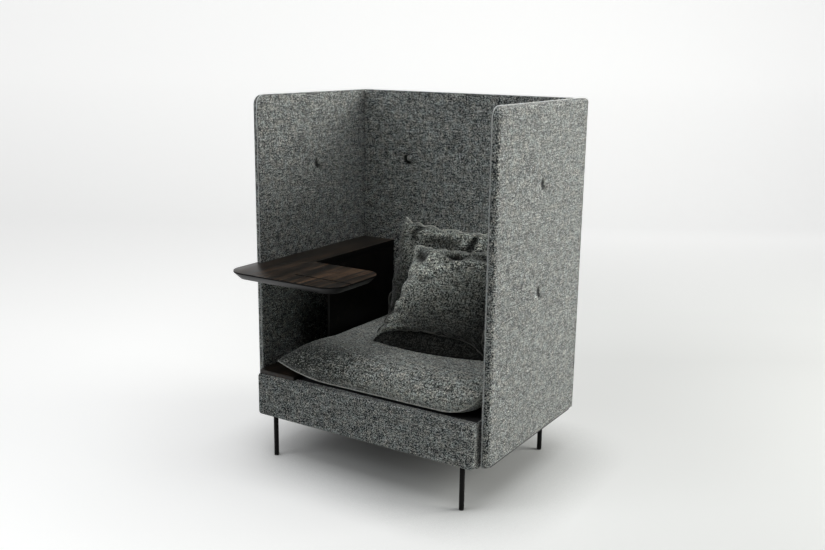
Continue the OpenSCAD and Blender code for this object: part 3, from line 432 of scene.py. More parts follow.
def melange_group():
    """Plain weave of mottled yarns. Place is in metres and Yarn is the distance between yarns. The cloth
    is pale above Balance, where the yarns' tone is a mix of patches along them, fibres and clumps."""
    wander_scale, wander_reach = 45.0, 1.6 * mm
    row_step, streak_step = 0.90, 0.24
    patch_roughness, bar_stretch, bar_weight = 0.7, (0.55, 0.13, 1.0), 0.35
    fibre_scale, fibre_weight, clump_scale, clump_weight = 1100.0, 0.25, 55.0, 0.10
    over_sharpness, over_tone, over_height, yarn_height = 5.0, 0.05, 0.35, 0.65
    cool_tint, hue_scale, hue_range = (0.90, 0.98, 1.04, 1), 38.0, (0.36, 0.62)
    group, given, result = new_group("melange_weave", "ShaderNodeTree", (
        ("Place", "Vector"), ("Yarn", "Float"), ("Pale", "Color"), ("Dark", "Color"), ("Balance", "Float"),
        ("Softness", "Float")), (("Color", "Color"), ("Height", "Float")))

    def math(operation, *values):
        return calculate(group, operation, *values)

    def yarn_tone(number, along, depth):
        """Tone of one yarn: short patches of pale and dark along it, and long ones."""
        row = math("MULTIPLY", math("FLOOR", number), row_step)
        run = math("MULTIPLY", along, streak_step)
        vector = add_node(group, "ShaderNodeCombineXYZ", {0: row, 1: run, 2: depth}).outputs[0]
        patch = cloud(group, vector, 1.0, 1.0, patch_roughness)
        bar = cloud(group, combine(group, "MULTIPLY", vector, bar_stretch), 1.0, 1.0)
        return math("MULTIPLY_ADD", math("SUBTRACT", bar, 0.5), bar_weight, patch)

    # Yarns are not quite straight, so their place wanders a little
    wander = cloud(group, given["Place"], wander_scale, 1.0).node.outputs["Color"]
    moved = combine(group, "ADD", given["Place"], combine(group, "SCALE", wander, wander_reach))
    split = add_node(group, "ShaderNodeSeparateXYZ", {0: moved}).outputs
    u, v = [math("DIVIDE", split[axis], given["Yarn"]) for axis in (0, 1)]
    wave_u, wave_v = [math("SINE", math("MULTIPLY", number, pi)) for number in (u, v)]
    over = math("MULTIPLY", math("MULTIPLY", wave_u, wave_v), over_sharpness)
    over = math("MAXIMUM", math("MINIMUM", over, 1.0), -1.0)
    warp = math("MULTIPLY_ADD", over, over_tone, yarn_tone(u, v, 3.1))
    weft = math("MULTIPLY_ADD", over, -over_tone, yarn_tone(v, u, 8.7))
    tone = math("MAXIMUM", warp, weft)
    fibre = cloud(group, given["Place"], fibre_scale, 2.0)
    clump = cloud(group, given["Place"], clump_scale, 3.0)
    for speck, weight in ((fibre, fibre_weight), (clump, clump_weight)):
        tone = math("MULTIPLY_ADD", math("SUBTRACT", speck, 0.5), weight, tone)
    low, high = [math(way, given["Balance"], given["Softness"]) for way in ("SUBTRACT", "ADD")]
    share = remap(group, tone, low, high, interpolation_type="SMOOTHSTEP")
    cool = mixed(group, 1.0, given["Pale"], cool_tint, blend_type="MULTIPLY")
    hue_share = remap(group, cloud(group, given["Place"], hue_scale, 3.0), *hue_range)
    wool = mixed(group, hue_share, given["Pale"], cool)
    heights = [math("MULTIPLY", math("ABSOLUTE", wave), math("MULTIPLY_ADD", over, lift, yarn_height))
               for wave, lift in ((wave_u, over_height), (wave_v, -over_height))]
    set_inputs(group, result, {"Color": mixed(group, share, given["Dark"], wool),
                               "Height": math("MULTIPLY_ADD", fibre, 0.5, math("MAXIMUM", *heights))})
    return group


melange = melange_group()


def uv_place(tree):
    return add_node(tree, "ShaderNodeUVMap", uv_map="UVMap").outputs[0]


def object_place(tree):
    return add_node(tree, "ShaderNodeTexCoord").outputs["Object"]


def attribute_value(tree, name):
    return add_node(tree, "ShaderNodeAttribute", attribute_name=name).outputs["Fac"]


def bumped(tree, height, strength, depth):
    """A normal with fine relief."""
    ins = {"Strength": strength, "Distance": depth, "Height": height}
    return add_node(tree, "ShaderNodeBump", ins).outputs[0]


def scale_colour(material, share):
    """Multiplies a material's colour by a share, which is a value of its tree."""
    tree = material.node_tree
    colour = tree.nodes["Principled BSDF"].inputs["Base Color"]
    tree.links.new(combine(tree, "SCALE", colour.links[0].from_socket, share), colour)


def melange_material(name, pale, dark, yarn=1.4 * mm, balance=0.62, softness=0.055, place=uv_place):
    """Wool cloth. place(tree) gives the pattern's coordinates in metres."""
    material, tree, shader = new_material(name)
    weave = add_node(tree, "ShaderNodeGroup", {
        "Place": place(tree), "Yarn": yarn, "Pale": (*pale, 1), "Dark": (*dark, 1), "Balance": balance,
        "Softness": softness}, node_tree=melange).outputs
    set_inputs(tree, shader, {
        "Base Color": weave["Color"], "Normal": bumped(tree, weave["Height"], 0.55, 0.7 * mm),
        "Roughness": 0.92, "Specular IOR Level": 0.12, "Sheen Weight": 0.5, "Sheen Roughness": 0.35})
    # The shade attribute darkens the cloth as painted shade, and brightens it as a painted highlight where it
    # is negative
    scale_colour(material, calculate(tree, "SUBTRACT", 1.0, attribute_value(tree, "shade")))
    return material


def shade_by_height(material, low, high, least):
    """Painted shade on a cloth: darkens it to a share of its tone at the height low. From the height high it
    keeps its tone.
    """
    tree = material.node_tree
    height = add_node(tree, "ShaderNodeSeparateXYZ", {0: object_place(tree)}).outputs[2]
    scale_colour(material, remap(tree, height, low, high, least, 1.0))


def end_group(group, geometry, material, result):
    """Ends a geometry group: its copies are made real and get their material."""
    solid = add_node(group, "GeometryNodeRealizeInstances", {0: geometry})
    painted = add_node(group, "GeometryNodeSetMaterial", {0: solid.outputs[0], "Material": material})
    set_inputs(group, result, {"Geometry": painted.outputs[0]})


def grow(name, carrier, group, **sizes):
    """The plain mesh that a geometry group makes on a carrier. The carrier is then removed."""
    modifier = carrier.modifiers.new(name, "NODES")
    modifier.node_group = group
    for socket in group.interface.items_tree:
        if socket.name in sizes:
            modifier[socket.identifier] = sizes[socket.name]
    evaluated = carrier.evaluated_get(bpy.context.evaluated_depsgraph_get())
    made = new_object(name, bpy.data.meshes.new_from_object(evaluated))
    bpy.data.objects.remove(carrier)
    return made


def welt_group():
    """Geometry nodes that lay a round welt along a loop of edges."""
    group, given, result = new_group("welt_along_seam", "GeometryNodeTree", (
        ("Geometry", "Geometry"), ("Radius", "Float"), ("Spacing", "Float"), ("Cloth", "Material")),
        (("Geometry", "Geometry"),))

    def step(kind, ins, **settings):
        return add_node(group, "GeometryNode" + kind, ins, **settings).outputs[0]

    path = step("MeshToCurve", {"Mesh": given["Geometry"]})
    even = step("ResampleCurve", {"Curve": path, "Length": given["Spacing"]}, mode="LENGTH")
    ring = step("CurvePrimitiveCircle", {"Resolution": 8, "Radius": given["Radius"]})
    tube = step("CurveToMesh", {"Curve": even, "Profile Curve": ring})
    end_group(group, step("SetShadeSmooth", {"Geometry": tube}), given["Cloth"], result)
    return group


welts = welt_group()


def lay_welt(name, loop, radius, cloth, body):
    """A welt along a closed loop of points."""
    edges = [(i, (i + 1) % len(loop)) for i in range(len(loop))]
    carrier = new_object(name + "_path", new_mesh(name + "_path", loop, [], edges))
    welt = grow(name, carrier, welts, Radius=radius, Spacing=2 * radius, Cloth=cloth)
    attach(welt, body)


panel_cloth = melange_material("panel_cloth", *panel_wool)
seam_cord = melange_material("seam_cord", *seam_highlight_wool, balance=0.5, place=object_place)
# Painted shade lower down on the cord, so the painted highlight is brightest along the top
shade_by_height(seam_cord, low=1.20, high=1.345, least=0.75)


def cover_board(name, mesh, node_name):
    """A padded board in the panels' cloth, in place of its CAD cover."""
    board = new_object(name, mesh)
    board.data.materials.append(panel_cloth)
    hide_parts(node_name)
    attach(board, "chair")


def sewn_panel(name, box, radii, thickness, place, buttons, seed, cell=face_cell):
    """A panel with its cover, and the welt along its seam."""
    profile = edge_profile(thickness, inner_round, outer_round, seam=True)
    mesh = padded_board(name, box, radii, thickness, profile, place, buttons, seed, cell)
    cover_board(name, mesh, name + "_cover")
    loop = [Vector(place(a, b, seam_at)) for a, b in outline_loop(box, radii, 0.0, seam_counts)]
    lay_welt(name + "_seam", loop, seam_welt_r, seam_cord, "chair")


left_lo, left_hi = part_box("left_panel_cover")
outer_x, inner_x = -left_lo.x, -left_hi.x
side_box = (left_lo.y, left_hi.y, left_lo.z, left_hi.z)
rear_corner_r = 9 * mm
side_radii = (low_corner_r, rear_corner_r, rear_corner_r, top_corner_r)
buttons_lo, buttons_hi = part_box("left_panel_buttons")
button_zs = (buttons_hi.z - button_r, buttons_lo.z + button_r)
side_buttons = [((buttons_lo.y + buttons_hi.y) / 2, z) for z in button_zs]
for name, side, seed in (("left_panel", -1, 1.0), ("right_panel", 1, 11.0)):
    sewn_panel(name, side_box, side_radii, side_t, lambda a, b, depth: (side * (inner_x + depth), a, b),
               side_buttons, seed)


# Back panel. It is made like the side panels and stands between them, with its own rounded edges.
back_lo, back_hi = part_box("back_panel_cover")
back_corner_r = 19 * mm
back_cell = 5.8 * mm
back_tuft_lo, back_tuft_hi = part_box("back_panel_buttons")
back_buttons = [(x, z) for x in (back_tuft_lo.x + button_r, back_tuft_hi.x - button_r) for z in button_zs]
sewn_panel("back_panel", (back_lo.x, back_hi.x, back_lo.z, back_hi.z), (back_corner_r,) * 4,
           back_hi.y - back_lo.y, lambda a, b, depth: (a, back_lo.y + depth, b), back_buttons, 21.0,
           back_cell)


# Buttons. Each is a domed shell covered in the panel's cloth and tied through the panel with twine.
button_h = 5 * mm
button_segments = 32
# Radius and height of the dome from its middle to its tucked rim, in shares of the button's
button_profile = (
    (0.25, 0.985), (0.48, 0.92), (0.68, 0.78), (0.83, 0.58), (0.91, 0.3), (0.93, 0.0), (0.86, -0.25))


def button_mesh():
    """A domed button that looks along +Z."""
    points = [(0.0, 0.0, button_h)]
    for radius, height in button_profile:
        for step in range(button_segments):
            angle = 2 * pi * step / button_segments
            points.append((button_r * radius * cos(angle), button_r * radius * sin(angle), button_h * height))
    rings = [[1 + ring * button_segments + step for step in range(button_segments)]
             for ring in range(len(button_profile))]
    faces = [(0, rings[0][step], rings[0][(step + 1) % button_segments]) for step in range(button_segments)]
    for first, second in zip(rings, rings[1:]):
        faces += ring_faces(first, second)
    faces.append(rings[-1][::-1])
    return finish_mesh(new_mesh("button", points, faces))


def scatter_group(name, pattern, material):
    """Geometry nodes that set a copy of a pattern piece on each point, turned to the point's facing."""
    group, given, result = new_group(
        name, "GeometryNodeTree", (("Geometry", "Geometry"),), (("Geometry", "Geometry"),))
    piece = add_node(group, "GeometryNodeObjectInfo", {"Object": pattern}, transform_space="ORIGINAL")
    facing, along = [add_node(group, "GeometryNodeInputNamedAttribute", {"Name": key},
                              data_type="FLOAT_VECTOR").outputs[0] for key in ("facing", "along")]
    turned = add_node(group, "FunctionNodeAxesToRotation", {0: facing, 1: along}, primary_axis="Z",
                      secondary_axis="X")
    copies = add_node(group, "GeometryNodeInstanceOnPoints", {
        "Points": given["Geometry"], "Instance": piece.outputs["Geometry"], "Rotation": turned.outputs[0]})
    end_group(group, copies.outputs[0], material, result)
    return group


pattern_button = new_object("button_pattern", button_mesh())
button_group = scatter_group("buttons_on_faces", pattern_button, panel_cloth)
# Place and facing of each button, on the outer and on the inner face of every panel
button_sets = {
    name: [((side * (x - s * dimple_depth), y, z), (side * s, 0, 0))
           for x, s in ((outer_x, 1), (inner_x, -1)) for y, z in side_buttons]
    for name, side in (("left_panel", -1), ("right_panel", 1))}
button_sets["back_panel"] = [((x, y + s * dimple_depth, z), (0, -s, 0))
                             for y, s in ((back_lo.y, 1), (back_hi.y, -1)) for x, z in back_buttons]
for panel_name, spots in button_sets.items():
    mesh = new_mesh(panel_name + "_spots", [place for place, facing in spots], [])
    for key, directions in (("facing", [facing for place, facing in spots]),
                            ("along", [(0, 0, 1)] * len(spots))):
        attribute = mesh.attributes.new(key, "FLOAT_VECTOR", "POINT")
        attribute.data.foreach_set("vector", [part for direction in directions for part in direction])
    carrier = new_object(panel_name + "_spots", mesh)
    piece = grow(panel_name + "_covered_buttons", carrier, button_group)
    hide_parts(panel_name + "_buttons")
    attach(piece, "chair")
bpy.data.objects.remove(pattern_button)


# Inside of the panels. Hardwood frames hold pressed felt, twine ties the buttons, and stained plywood
# strips close the covers from below. Studs join the side panels to the back panel.
def grain_group():
    """Straight wood grain that runs along Y of Place, in metres: stripes, pores and a fine height. The
    stripes fade out on the left of Warm From."""
    sway_scale, fine_scale, pore_scale = 2.2, 300.0, 1900.0
    broad_share, fine_share = 0.64, 0.36
    below, above = 0.07, 0.10
    fade_half, least_stripe = 0.08, 0.12
    pore_tone, pore_range = (0.004, 0.003, 0.003, 1), (0.36, 0.46)
    group, given, result = new_group("straight_grain", "ShaderNodeTree", (
        ("Place", "Vector"), ("Base", "Color"), ("Stripe", "Color"), ("Stripe Width", "Float"),
        ("Share", "Float"), ("Warm From", "Float")),
        (("Color", "Color"), ("Height", "Float"), ("Roughness", "Float")))

    def math(operation, *values):
        return calculate(group, operation, *values)

    split = add_node(group, "ShaderNodeSeparateXYZ", {0: given["Place"]}).outputs
    sway = math("SUBTRACT", cloud(group, given["Place"], sway_scale, 1.0), 0.5)

    def drawn_out(length_share, bend):
        """Place with its length drawn out along the grain, and a slow bend across it."""
        across, length = math("MULTIPLY_ADD", sway, bend, split[0]), math("MULTIPLY", split[1], length_share)
        return add_node(group, "ShaderNodeCombineXYZ", {0: across, 1: length, 2: split[2]}).outputs[0]

    broad = cloud(group, drawn_out(0.035, 0.03), math("DIVIDE", 1.0, given["Stripe Width"]), 3.0, 0.62)
    fine = cloud(group, drawn_out(0.03, 0.012), fine_scale, 2.0)
    pores = cloud(group, drawn_out(0.05, 0.0), pore_scale, 1.0)
    grain = math("MULTIPLY_ADD", broad, broad_share, math("MULTIPLY", fine, fine_share))
    stripes = remap(group, grain, math("SUBTRACT", given["Share"], below), math("ADD", given["Share"], above),
                    interpolation_type="SMOOTHSTEP")
    warm = remap(group, math("SUBTRACT", split[0], given["Warm From"]), -fade_half, fade_half, least_stripe)
    colour = mixed(group, warm, given["Base"], mixed(group, stripes, given["Base"], given["Stripe"]))
    pit = remap(group, pores, *pore_range)
    set_inputs(group, result, {"Color": mixed(group, pit, pore_tone, colour), "Height": pit,
                               "Roughness": remap(group, grain, 0.3, 0.7, 0.34, 0.46)})
    return group


straight_grain = grain_group()


def wood_material(name, base, stripe, width, share, turn=(0, 0, 0), coat=0.0, warm_from=-9.0, shine=0.5):
    """Planed wood or veneer. turn lays the grain, which runs along Y, another way."""
    material, tree, shader = new_material(name)
    mapping = add_node(tree, "ShaderNodeMapping", {"Vector": object_place(tree), "Rotation": turn})
    grain = add_node(tree, "ShaderNodeGroup", {
        "Place": mapping.outputs[0], "Base": (*base, 1), "Stripe": (*stripe, 1), "Stripe Width": width,
        "Share": share, "Warm From": warm_from}, node_tree=straight_grain).outputs
    set_inputs(tree, shader, {
        "Base Color": grain["Color"], "Roughness": grain["Roughness"],
        "Normal": bumped(tree, grain["Height"], 0.25, 0.12 * mm), "Specular IOR Level": shine,
        "Coat Weight": coat, "Coat Roughness": 0.3})
    return material


def speckled_material(name, first, second, scale, roughness, metallic=0.0, bump_depth=0.1 * mm, shine=0.5):
    """A plain stuff with a fine mottled colour and surface."""
    material, tree, shader = new_material(name)
    speck = cloud(tree, object_place(tree), scale, 4.0)
    set_inputs(tree, shader, {
        "Base Color": mixed(tree, speck, (*first, 1), (*second, 1)), "Metallic": metallic,
        "Roughness": remap(tree, speck, 0.3, 0.7, roughness - 0.06, roughness + 0.06),
        "Normal": bumped(tree, speck, 0.4, bump_depth), "Specular IOR Level": shine})
    return material


def finish_nodes(material, *names):
    """Gives CAD nodes whose shape is right their finish."""
    for name in names:
        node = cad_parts[name]
        node.data.materials.clear()
        node.data.materials.append(material)


beech = (0.56, 0.40, 0.25), (0.68, 0.52, 0.34), 22 * mm, 0.5
# The grain of a part runs along X, Y or Z of the chair
along_x, along_y, along_z = (0, 0, pi / 2), (0, 0, 0), (pi / 2, 0, 0)
upright_beech = wood_material("planed_beech", *beech, along_z)
cross_beech = wood_material("planed_beech_rails", *beech, along_x)
stained_ply = wood_material("stained_ply", (0.012, 0.011, 0.010), (0.03, 0.028, 0.026), 10 * mm, 0.5, along_x)
felt = speckled_material("pressed_felt", (0.36, 0.36, 0.35), (0.58, 0.58, 0.56), 420.0, 0.95,
                         bump_depth=0.8 * mm)
twine = speckled_material("waxed_twine", (0.02, 0.02, 0.02), (0.05, 0.05, 0.045), 1500.0, 0.6,
                          bump_depth=0.3 * mm)
zinc = speckled_material("zinc_plated_steel", (0.55, 0.56, 0.58), (0.68, 0.69, 0.70), 260.0, 0.34,
                         metallic=1.0, bump_depth=0.03 * mm)
finish_nodes(upright_beech, "left_panel_frame", "right_panel_frame", "back_panel_frame")
finish_nodes(felt, "left_panel_infill", "right_panel_infill", "back_panel_infill")
finish_nodes(stained_ply, "panel_bottom_strips")
finish_nodes(twine, "tufting_ties")
finish_nodes(zinc, "corner_studs")


# Fascia. A padded board in the panel's cloth closes the seat box in front of the panels. Its cover is
# drawn round all edges and stapled behind.
fascia_lo, fascia_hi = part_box("fascia_cover")
fascia_t = fascia_hi.y - fascia_lo.y
fascia_front_round, fascia_rear_round, fascia_corner_r = 11 * mm, 2.5 * mm, 12 * mm
cover_board("fascia", padded_board(
    "fascia", (fascia_lo.x, fascia_hi.x, fascia_lo.z, fascia_hi.z), (fascia_corner_r,) * 4, fascia_t,
    edge_profile(fascia_t, fascia_front_round, fascia_rear_round, seam=False),
    lambda a, b, depth: (a, fascia_lo.y + depth, b), (), 31.0), "fascia_cover")


# Seat box. Beech rails and corner blocks make a ring that carries rubberised webbing, a felt pad and a
# deck cloth. The cloth on its sides is the panel's, and a dust cloth closes it from below.
def side_place(tree):
    """Map of a face that looks along X: Y and Z of the chair."""
    split = add_node(tree, "ShaderNodeSeparateXYZ", {0: object_place(tree)}).outputs
    return add_node(tree, "ShaderNodeCombineXYZ", {0: split[1], 1: split[2]}).outputs[0]


side_cloth = melange_material("panel_cloth_sides", *panel_wool, place=side_place)
side_beech = wood_material("planed_beech_sides", *beech, along_y)
black_cloth = speckled_material("black_cloth", (0.012, 0.012, 0.013), (0.03, 0.03, 0.031), 900.0, 0.95,
                                bump_depth=0.3 * mm)
rubber_web = speckled_material("rubberised_webbing", (0.014, 0.014, 0.015), (0.03, 0.028, 0.026), 700.0, 0.7,
                               bump_depth=0.4 * mm)
nylon = speckled_material("moulded_nylon", (0.012, 0.012, 0.012), (0.02, 0.02, 0.02), 320.0, 0.45)
finish_nodes(side_cloth, "side_skirts")
finish_nodes(cross_beech, "fascia_board", "front_frame_rail", "rear_frame_rail", "corner_blocks")
finish_nodes(side_beech, "side_frame_rails", "centre_rail")
finish_nodes(rubber_web, "seat_webbing")
finish_nodes(felt, "deck_pad")
finish_nodes(black_cloth, "deck_cloth", "dust_cover")
finish_nodes(zinc, "fascia_screws", "panel_bolts", "bolt_washers", "leg_studs", "leg_plate_screws",
             "stiffener_screws", "ledge_screws", "bracket_screws")
finish_nodes(nylon, "spacer_sleeves")


# Legs. Black powder-coated tubes with broken edges stand on nylon glides under screwed plates.
sharp_above, smooth_below = radians(30), radians(24)
edge_steps = 2


def dressed_copy(name, node_name, edge, material):
    """A copy of a CAD node with clean faces and its sharp edges broken."""
    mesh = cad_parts[node_name].data.copy()
    mesh.name = name
    form = bmesh.new()
    form.from_mesh(mesh)
    bmesh.ops.remove_doubles(form, verts=form.verts, dist=mm / 50)
    bmesh.ops.dissolve_limit(form, angle_limit=radians(0.5), verts=form.verts, edges=form.edges)
    sharp = [e for e in form.edges if len(e.link_faces) == 2 and e.calc_face_angle(0) > sharp_above]
    bmesh.ops.bevel(form, geom=sharp, offset=edge, segments=edge_steps, profile=0.5, affect="EDGES",
                    clamp_overlap=True, harden_normals=False)
    bmesh.ops.triangulate(form, faces=[f for f in form.faces if len(f.verts) > 4])
    for face in form.faces:
        face.smooth = True
    for e in form.edges:
        e.smooth = len(e.link_faces) != 2 or e.calc_face_angle(0) < smooth_below
    form.to_mesh(mesh)
    form.free()
    mesh.materials.clear()
    mesh.materials.append(material)
    made = new_object(name, mesh)
    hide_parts(node_name)
    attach(made, "chair")
    return made


powder_coat = speckled_material("black_powder_coat", (0.002, 0.002, 0.002), (0.005, 0.005, 0.005), 1600.0,
                                0.5, bump_depth=0.08 * mm, shine=0.15)
dressed_copy("leg_tubes", "legs", 0.4 * mm, powder_coat)
dressed_copy("plates_of_legs", "leg_plates", 0.4 * mm, powder_coat)
finish_nodes(nylon, "leg_glides")
finish_nodes(powder_coat, "table_stiffener")


# Table. The L-shaped top is one veneered board with a slope under its front part's edge. The upright
# board stands on the ledge. All three have smoked veneer with brown stripes and a satin lacquer, and the
# upright's is painted far darker as painted shade under the shelf.
table_veneer = wood_material("table_veneer", (0.015, 0.012, 0.009), (0.28, 0.165, 0.098), 26 * mm, 0.545,
                             coat=0.1, warm_from=-0.33, shine=0.3)
edge_lacquer = speckled_material("edge_lacquer", (0.004, 0.004, 0.004), (0.009, 0.009, 0.009), 700.0, 0.34,
                                 shine=0.22)
edge_band = speckled_material("edge_band", (0.004, 0.004, 0.004), (0.008, 0.007, 0.007), 700.0, 0.6,
                              shine=0.1)
# The upright's veneer is the table's, painted far darker: painted shade under the shelf
upright_veneer = wood_material("upright_veneer", (0.004, 0.0038, 0.0035), (0.022, 0.017, 0.014), 24 * mm,
                               0.60, (pi / 2, 0, pi / 2), shine=0.12)
table_board = dressed_copy("table_board", "table_top", 0.7 * mm, table_veneer)
# Veneer on the top, the band round the upright edge, and lacquer on the slope and the underside
looks_up, looks_down = 0.5, -0.3
table_board.data.materials.append(edge_lacquer)
table_board.data.materials.append(edge_band)
for face in table_board.data.polygons:
    if face.normal.z < looks_up:
        face.material_index = 2 if face.normal.z > looks_down else 1
dressed_copy("upright_board", "table_support", 0.6 * mm, upright_veneer)
dressed_copy("ledge", "ledge_board", 0.8 * mm, table_veneer)
dressed_copy("brackets", "shelf_brackets", 0.4 * mm, powder_coat)


# Seat cushion. A feather-topped foam cushion in the same wool. Its seams run low along the front, and
# its left front corner is drawn out over the ledge.
deck_z = fascia_hi.z
ledge_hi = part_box("ledge_board")[1]
cushion_top = 456 * mm
cushion_seam = 385 * mm
front_seam = 335 * mm
front_seam_in = 25 * mm
cushion_nose = 21 * mm
ear_l = 98 * mm
ear_h = 379 * mm
right_corner_h = 400 * mm
corner_back = 18 * mm
soft_gap = 0.3 * mm
side_swell = 7 * mm
crown = 5 * mm
ear_share, front_share, corner_share = 0.35, 0.4, 0.7
left_rise_share, right_rise_share = 0.45, 0.6
ear_round_share = 0.5
# How square the sides and the ends swell: at the back, along the front, at the drawn-out corner, below
back_square, front_square, ear_square, lower_square = (45, 12), (20, 12), (9, 7), (10, 8)
cushion_left = ledge_hi.x + 2 * soft_gap
cushion_right = inner_x - 2 * soft_gap
cushion_back = back_lo.y - 2 * soft_gap
cushion_low = deck_z + soft_gap
cushion_front = fascia_lo.y + front_seam_in


def between(first, last, share):
    return first + (last - first) * share


def past(t, limit):
    """0 up to the limit, then on to 1 where t is 1."""
    return max(0.0, t - limit) / (1 - limit)


def ease(t):
    c = min(1.0, max(0.0, t))
    return c * c * (3 - 2 * c)


def rise(t, begin, full):
    """A smooth step from 0 at begin to 1 at full."""
    return ease((t - begin) / (full - begin))


def swell(u, v, side_power, end_power):
    return sqrt(max(0.0, (1 - abs(u) ** side_power) * (1 - abs(v) ** end_power)))


def cushion_point(u, v, up):
    """A point of the seat cushion, u and v from -1 to 1 to the right and to the back."""
    forward = ease(past(-v, front_share))
    front_line = cushion_front + corner_back * past(u, corner_share) ** 2
    front_rise = (front_seam + (ear_h - front_seam) * past(-u, left_rise_share) ** 2
                  + (right_corner_h - front_seam) * past(u, right_rise_share) ** 3.5)
    seam = between(cushion_seam, front_rise, forward)
    ear = ease(past(-u, ear_round_share)) * ease(past(-v, ear_round_share))
    square = [between(between(back, front, forward), corner, ear)
              for back, front, corner in zip(back_square, front_square, ear_square)]
    f = swell(u, v, *(square if up else lower_square))
    x0 = cushion_left + side_swell - ear_l * past(-v, ear_share) ** 1.6
    x1 = cushion_right - side_swell - corner_back / 2 * past(-v, corner_share) ** 4
    x, y = between(x0, x1, (u + 1) / 2), between(front_line, cushion_back, (v + 1) / 2)
    if not up:
        return Vector((x, y, between(seam, cushion_low, f * f)))
    side = side_swell * sin(pi * f) * abs(u) ** 5 * (1 if u > 0 else -1)
    nose = cushion_nose * sin(pi * f) * max(0.0, -v) ** 5
    top = cushion_top - crown + crown * (1 - u * u) * (1 - v * v)
    return Vector((x + side, y - nose, between(seam, top, f)))


def soft_form(name, across, along, point):
    """A closed form of two sheets that share their rim. point(u, v, up) gives its surface. Its map is
    in metres along the cloth, from the middle of each sheet. Returns the mesh and the rim's vertices."""
    crowding = 0.35

    def share(i, count):
        """Where a row of cells lies, from -1 to 1. The rows crowd towards the rim."""
        s = 2 * i / count - 1
        return s * (1 + crowding - crowding * s * s)

    points, number = [], {}
    for up in (True, False):
        for i in range(across + 1):
            for j in range(along + 1):
                if not up and (i in (0, across) or j in (0, along)):
                    number[i, j, up] = number[i, j, True]
                    continue
                number[i, j, up] = len(points)
                points.append(Vector(point(share(i, across), share(j, along), up)))
    faces, places = [], []
    for up in (True, False):
        at = [[points[number[i, j, up]] for j in range(along + 1)] for i in range(across + 1)]
        run_u = [[0.0] * (along + 1) for _ in range(across + 1)]
        run_v = [[0.0] * (along + 1) for _ in range(across + 1)]
        for i in range(across + 1):
            for j in range(along + 1):
                if i:
                    run_u[i][j] = run_u[i - 1][j] + (at[i][j] - at[i - 1][j]).length
                if j:
                    run_v[i][j] = run_v[i][j - 1] + (at[i][j] - at[i][j - 1]).length
        for i in range(across):
            for j in range(along):
                cells = [(i, j), (i + 1, j), (i + 1, j + 1), (i, j + 1)]
                if not up:
                    cells.reverse()
                faces.append([number[a, b, up] for a, b in cells])
                places += [(run_u[a][b] - run_u[across // 2][b], run_v[a][b] - run_v[a][along // 2])
                           for a, b in cells]
    mesh = new_mesh(name, points, faces)
    layer = mesh.uv_layers.new(name="UVMap")
    layer.data.foreach_set("uv", [c for place in places for c in place])
    rim = [(i, 0) for i in range(across)] + [(across, j) for j in range(along)]
    rim += [(i, along) for i in range(across, 0, -1)] + [(0, j) for j in range(along, 0, -1)]
    return mesh, [number[i, j, True] for i, j in rim]


def simulate_cloth(mesh, pressure, frames, stiffness, bending, seed, ruffle):
    """Blows the form up as cloth with a little uneven slack, and returns its points."""
    ruffle_waves = 26
    blown = new_object(mesh.name + "_cloth", mesh.copy())
    for vertex, normal in zip(blown.data.vertices, [Vector(v.normal) for v in mesh.vertices]):
        vertex.co += normal * ruffle * noise.noise(vertex.co * ruffle_waves + Vector((seed, 0, 0)))
    cloth = blown.modifiers.new("cloth", "CLOTH")
    settings = cloth.settings
    settings.quality = 6
    settings.mass = 0.3
    settings.tension_stiffness = settings.compression_stiffness = stiffness
    settings.shear_stiffness = stiffness / 3
    settings.bending_stiffness = bending
    settings.tension_damping = settings.compression_damping = settings.shear_damping = 10
    settings.air_damping = 2
    settings.use_pressure = True
    settings.uniform_pressure_force = pressure
    settings.effector_weights.gravity = 0
    cloth.point_cache.frame_start, cloth.point_cache.frame_end = 1, frames
    scene = bpy.context.scene
    for frame_number in range(1, frames + 1):
        scene.frame_set(frame_number)
    evaluated = blown.evaluated_get(bpy.context.evaluated_depsgraph_get())
    points = [Vector(vertex.co) for vertex in evaluated.data.vertices]
    scene.frame_set(1)
    bpy.data.objects.remove(blown)
    return points


def smoothed(made):
    """The object with one subdivision applied to its mesh."""
    modifier = made.modifiers.new("smooth", "SUBSURF")
    modifier.levels = modifier.render_levels = 1
    evaluated = made.evaluated_get(bpy.context.evaluated_depsgraph_get())
    made.data = bpy.data.meshes.new_from_object(evaluated)
    made.modifiers.remove(modifier)
    return made


seat_cloth = melange_material("seat_cloth", (1.0, 0.99, 0.89), (0.038, 0.041, 0.038), yarn=1.8 * mm,
                              softness=0.09)
# Painted shade to painted light, and the balance of dark and pale wool there
painted_light_range, painted_light_balance = (-1.0, 2.0), (0.72, 0.375)
tree = seat_cloth.node_tree
weave = next(node for node in tree.nodes if node.type == "GROUP")
balance = remap(tree, attribute_value(tree, "nap"), *painted_light_range, *painted_light_balance)
set_inputs(tree, weave, {"Balance": balance})
# The seat welt is painted pale: a painted highlight along the cushion's seams
seat_welt_cloth = melange_material("seat_welt_cloth", (0.94, 0.93, 0.86), (0.58, 0.58, 0.53), yarn=2.1 * mm,
                                   place=object_place)
seat_cap = 3.5 * mm
seat_cells = (120, 100)
seat_blow = dict(pressure=4.0, frames=16, stiffness=15.0, bending=0.2, seed=2.0, ruffle=3 * mm)
seat_welt_r = 2.2 * mm
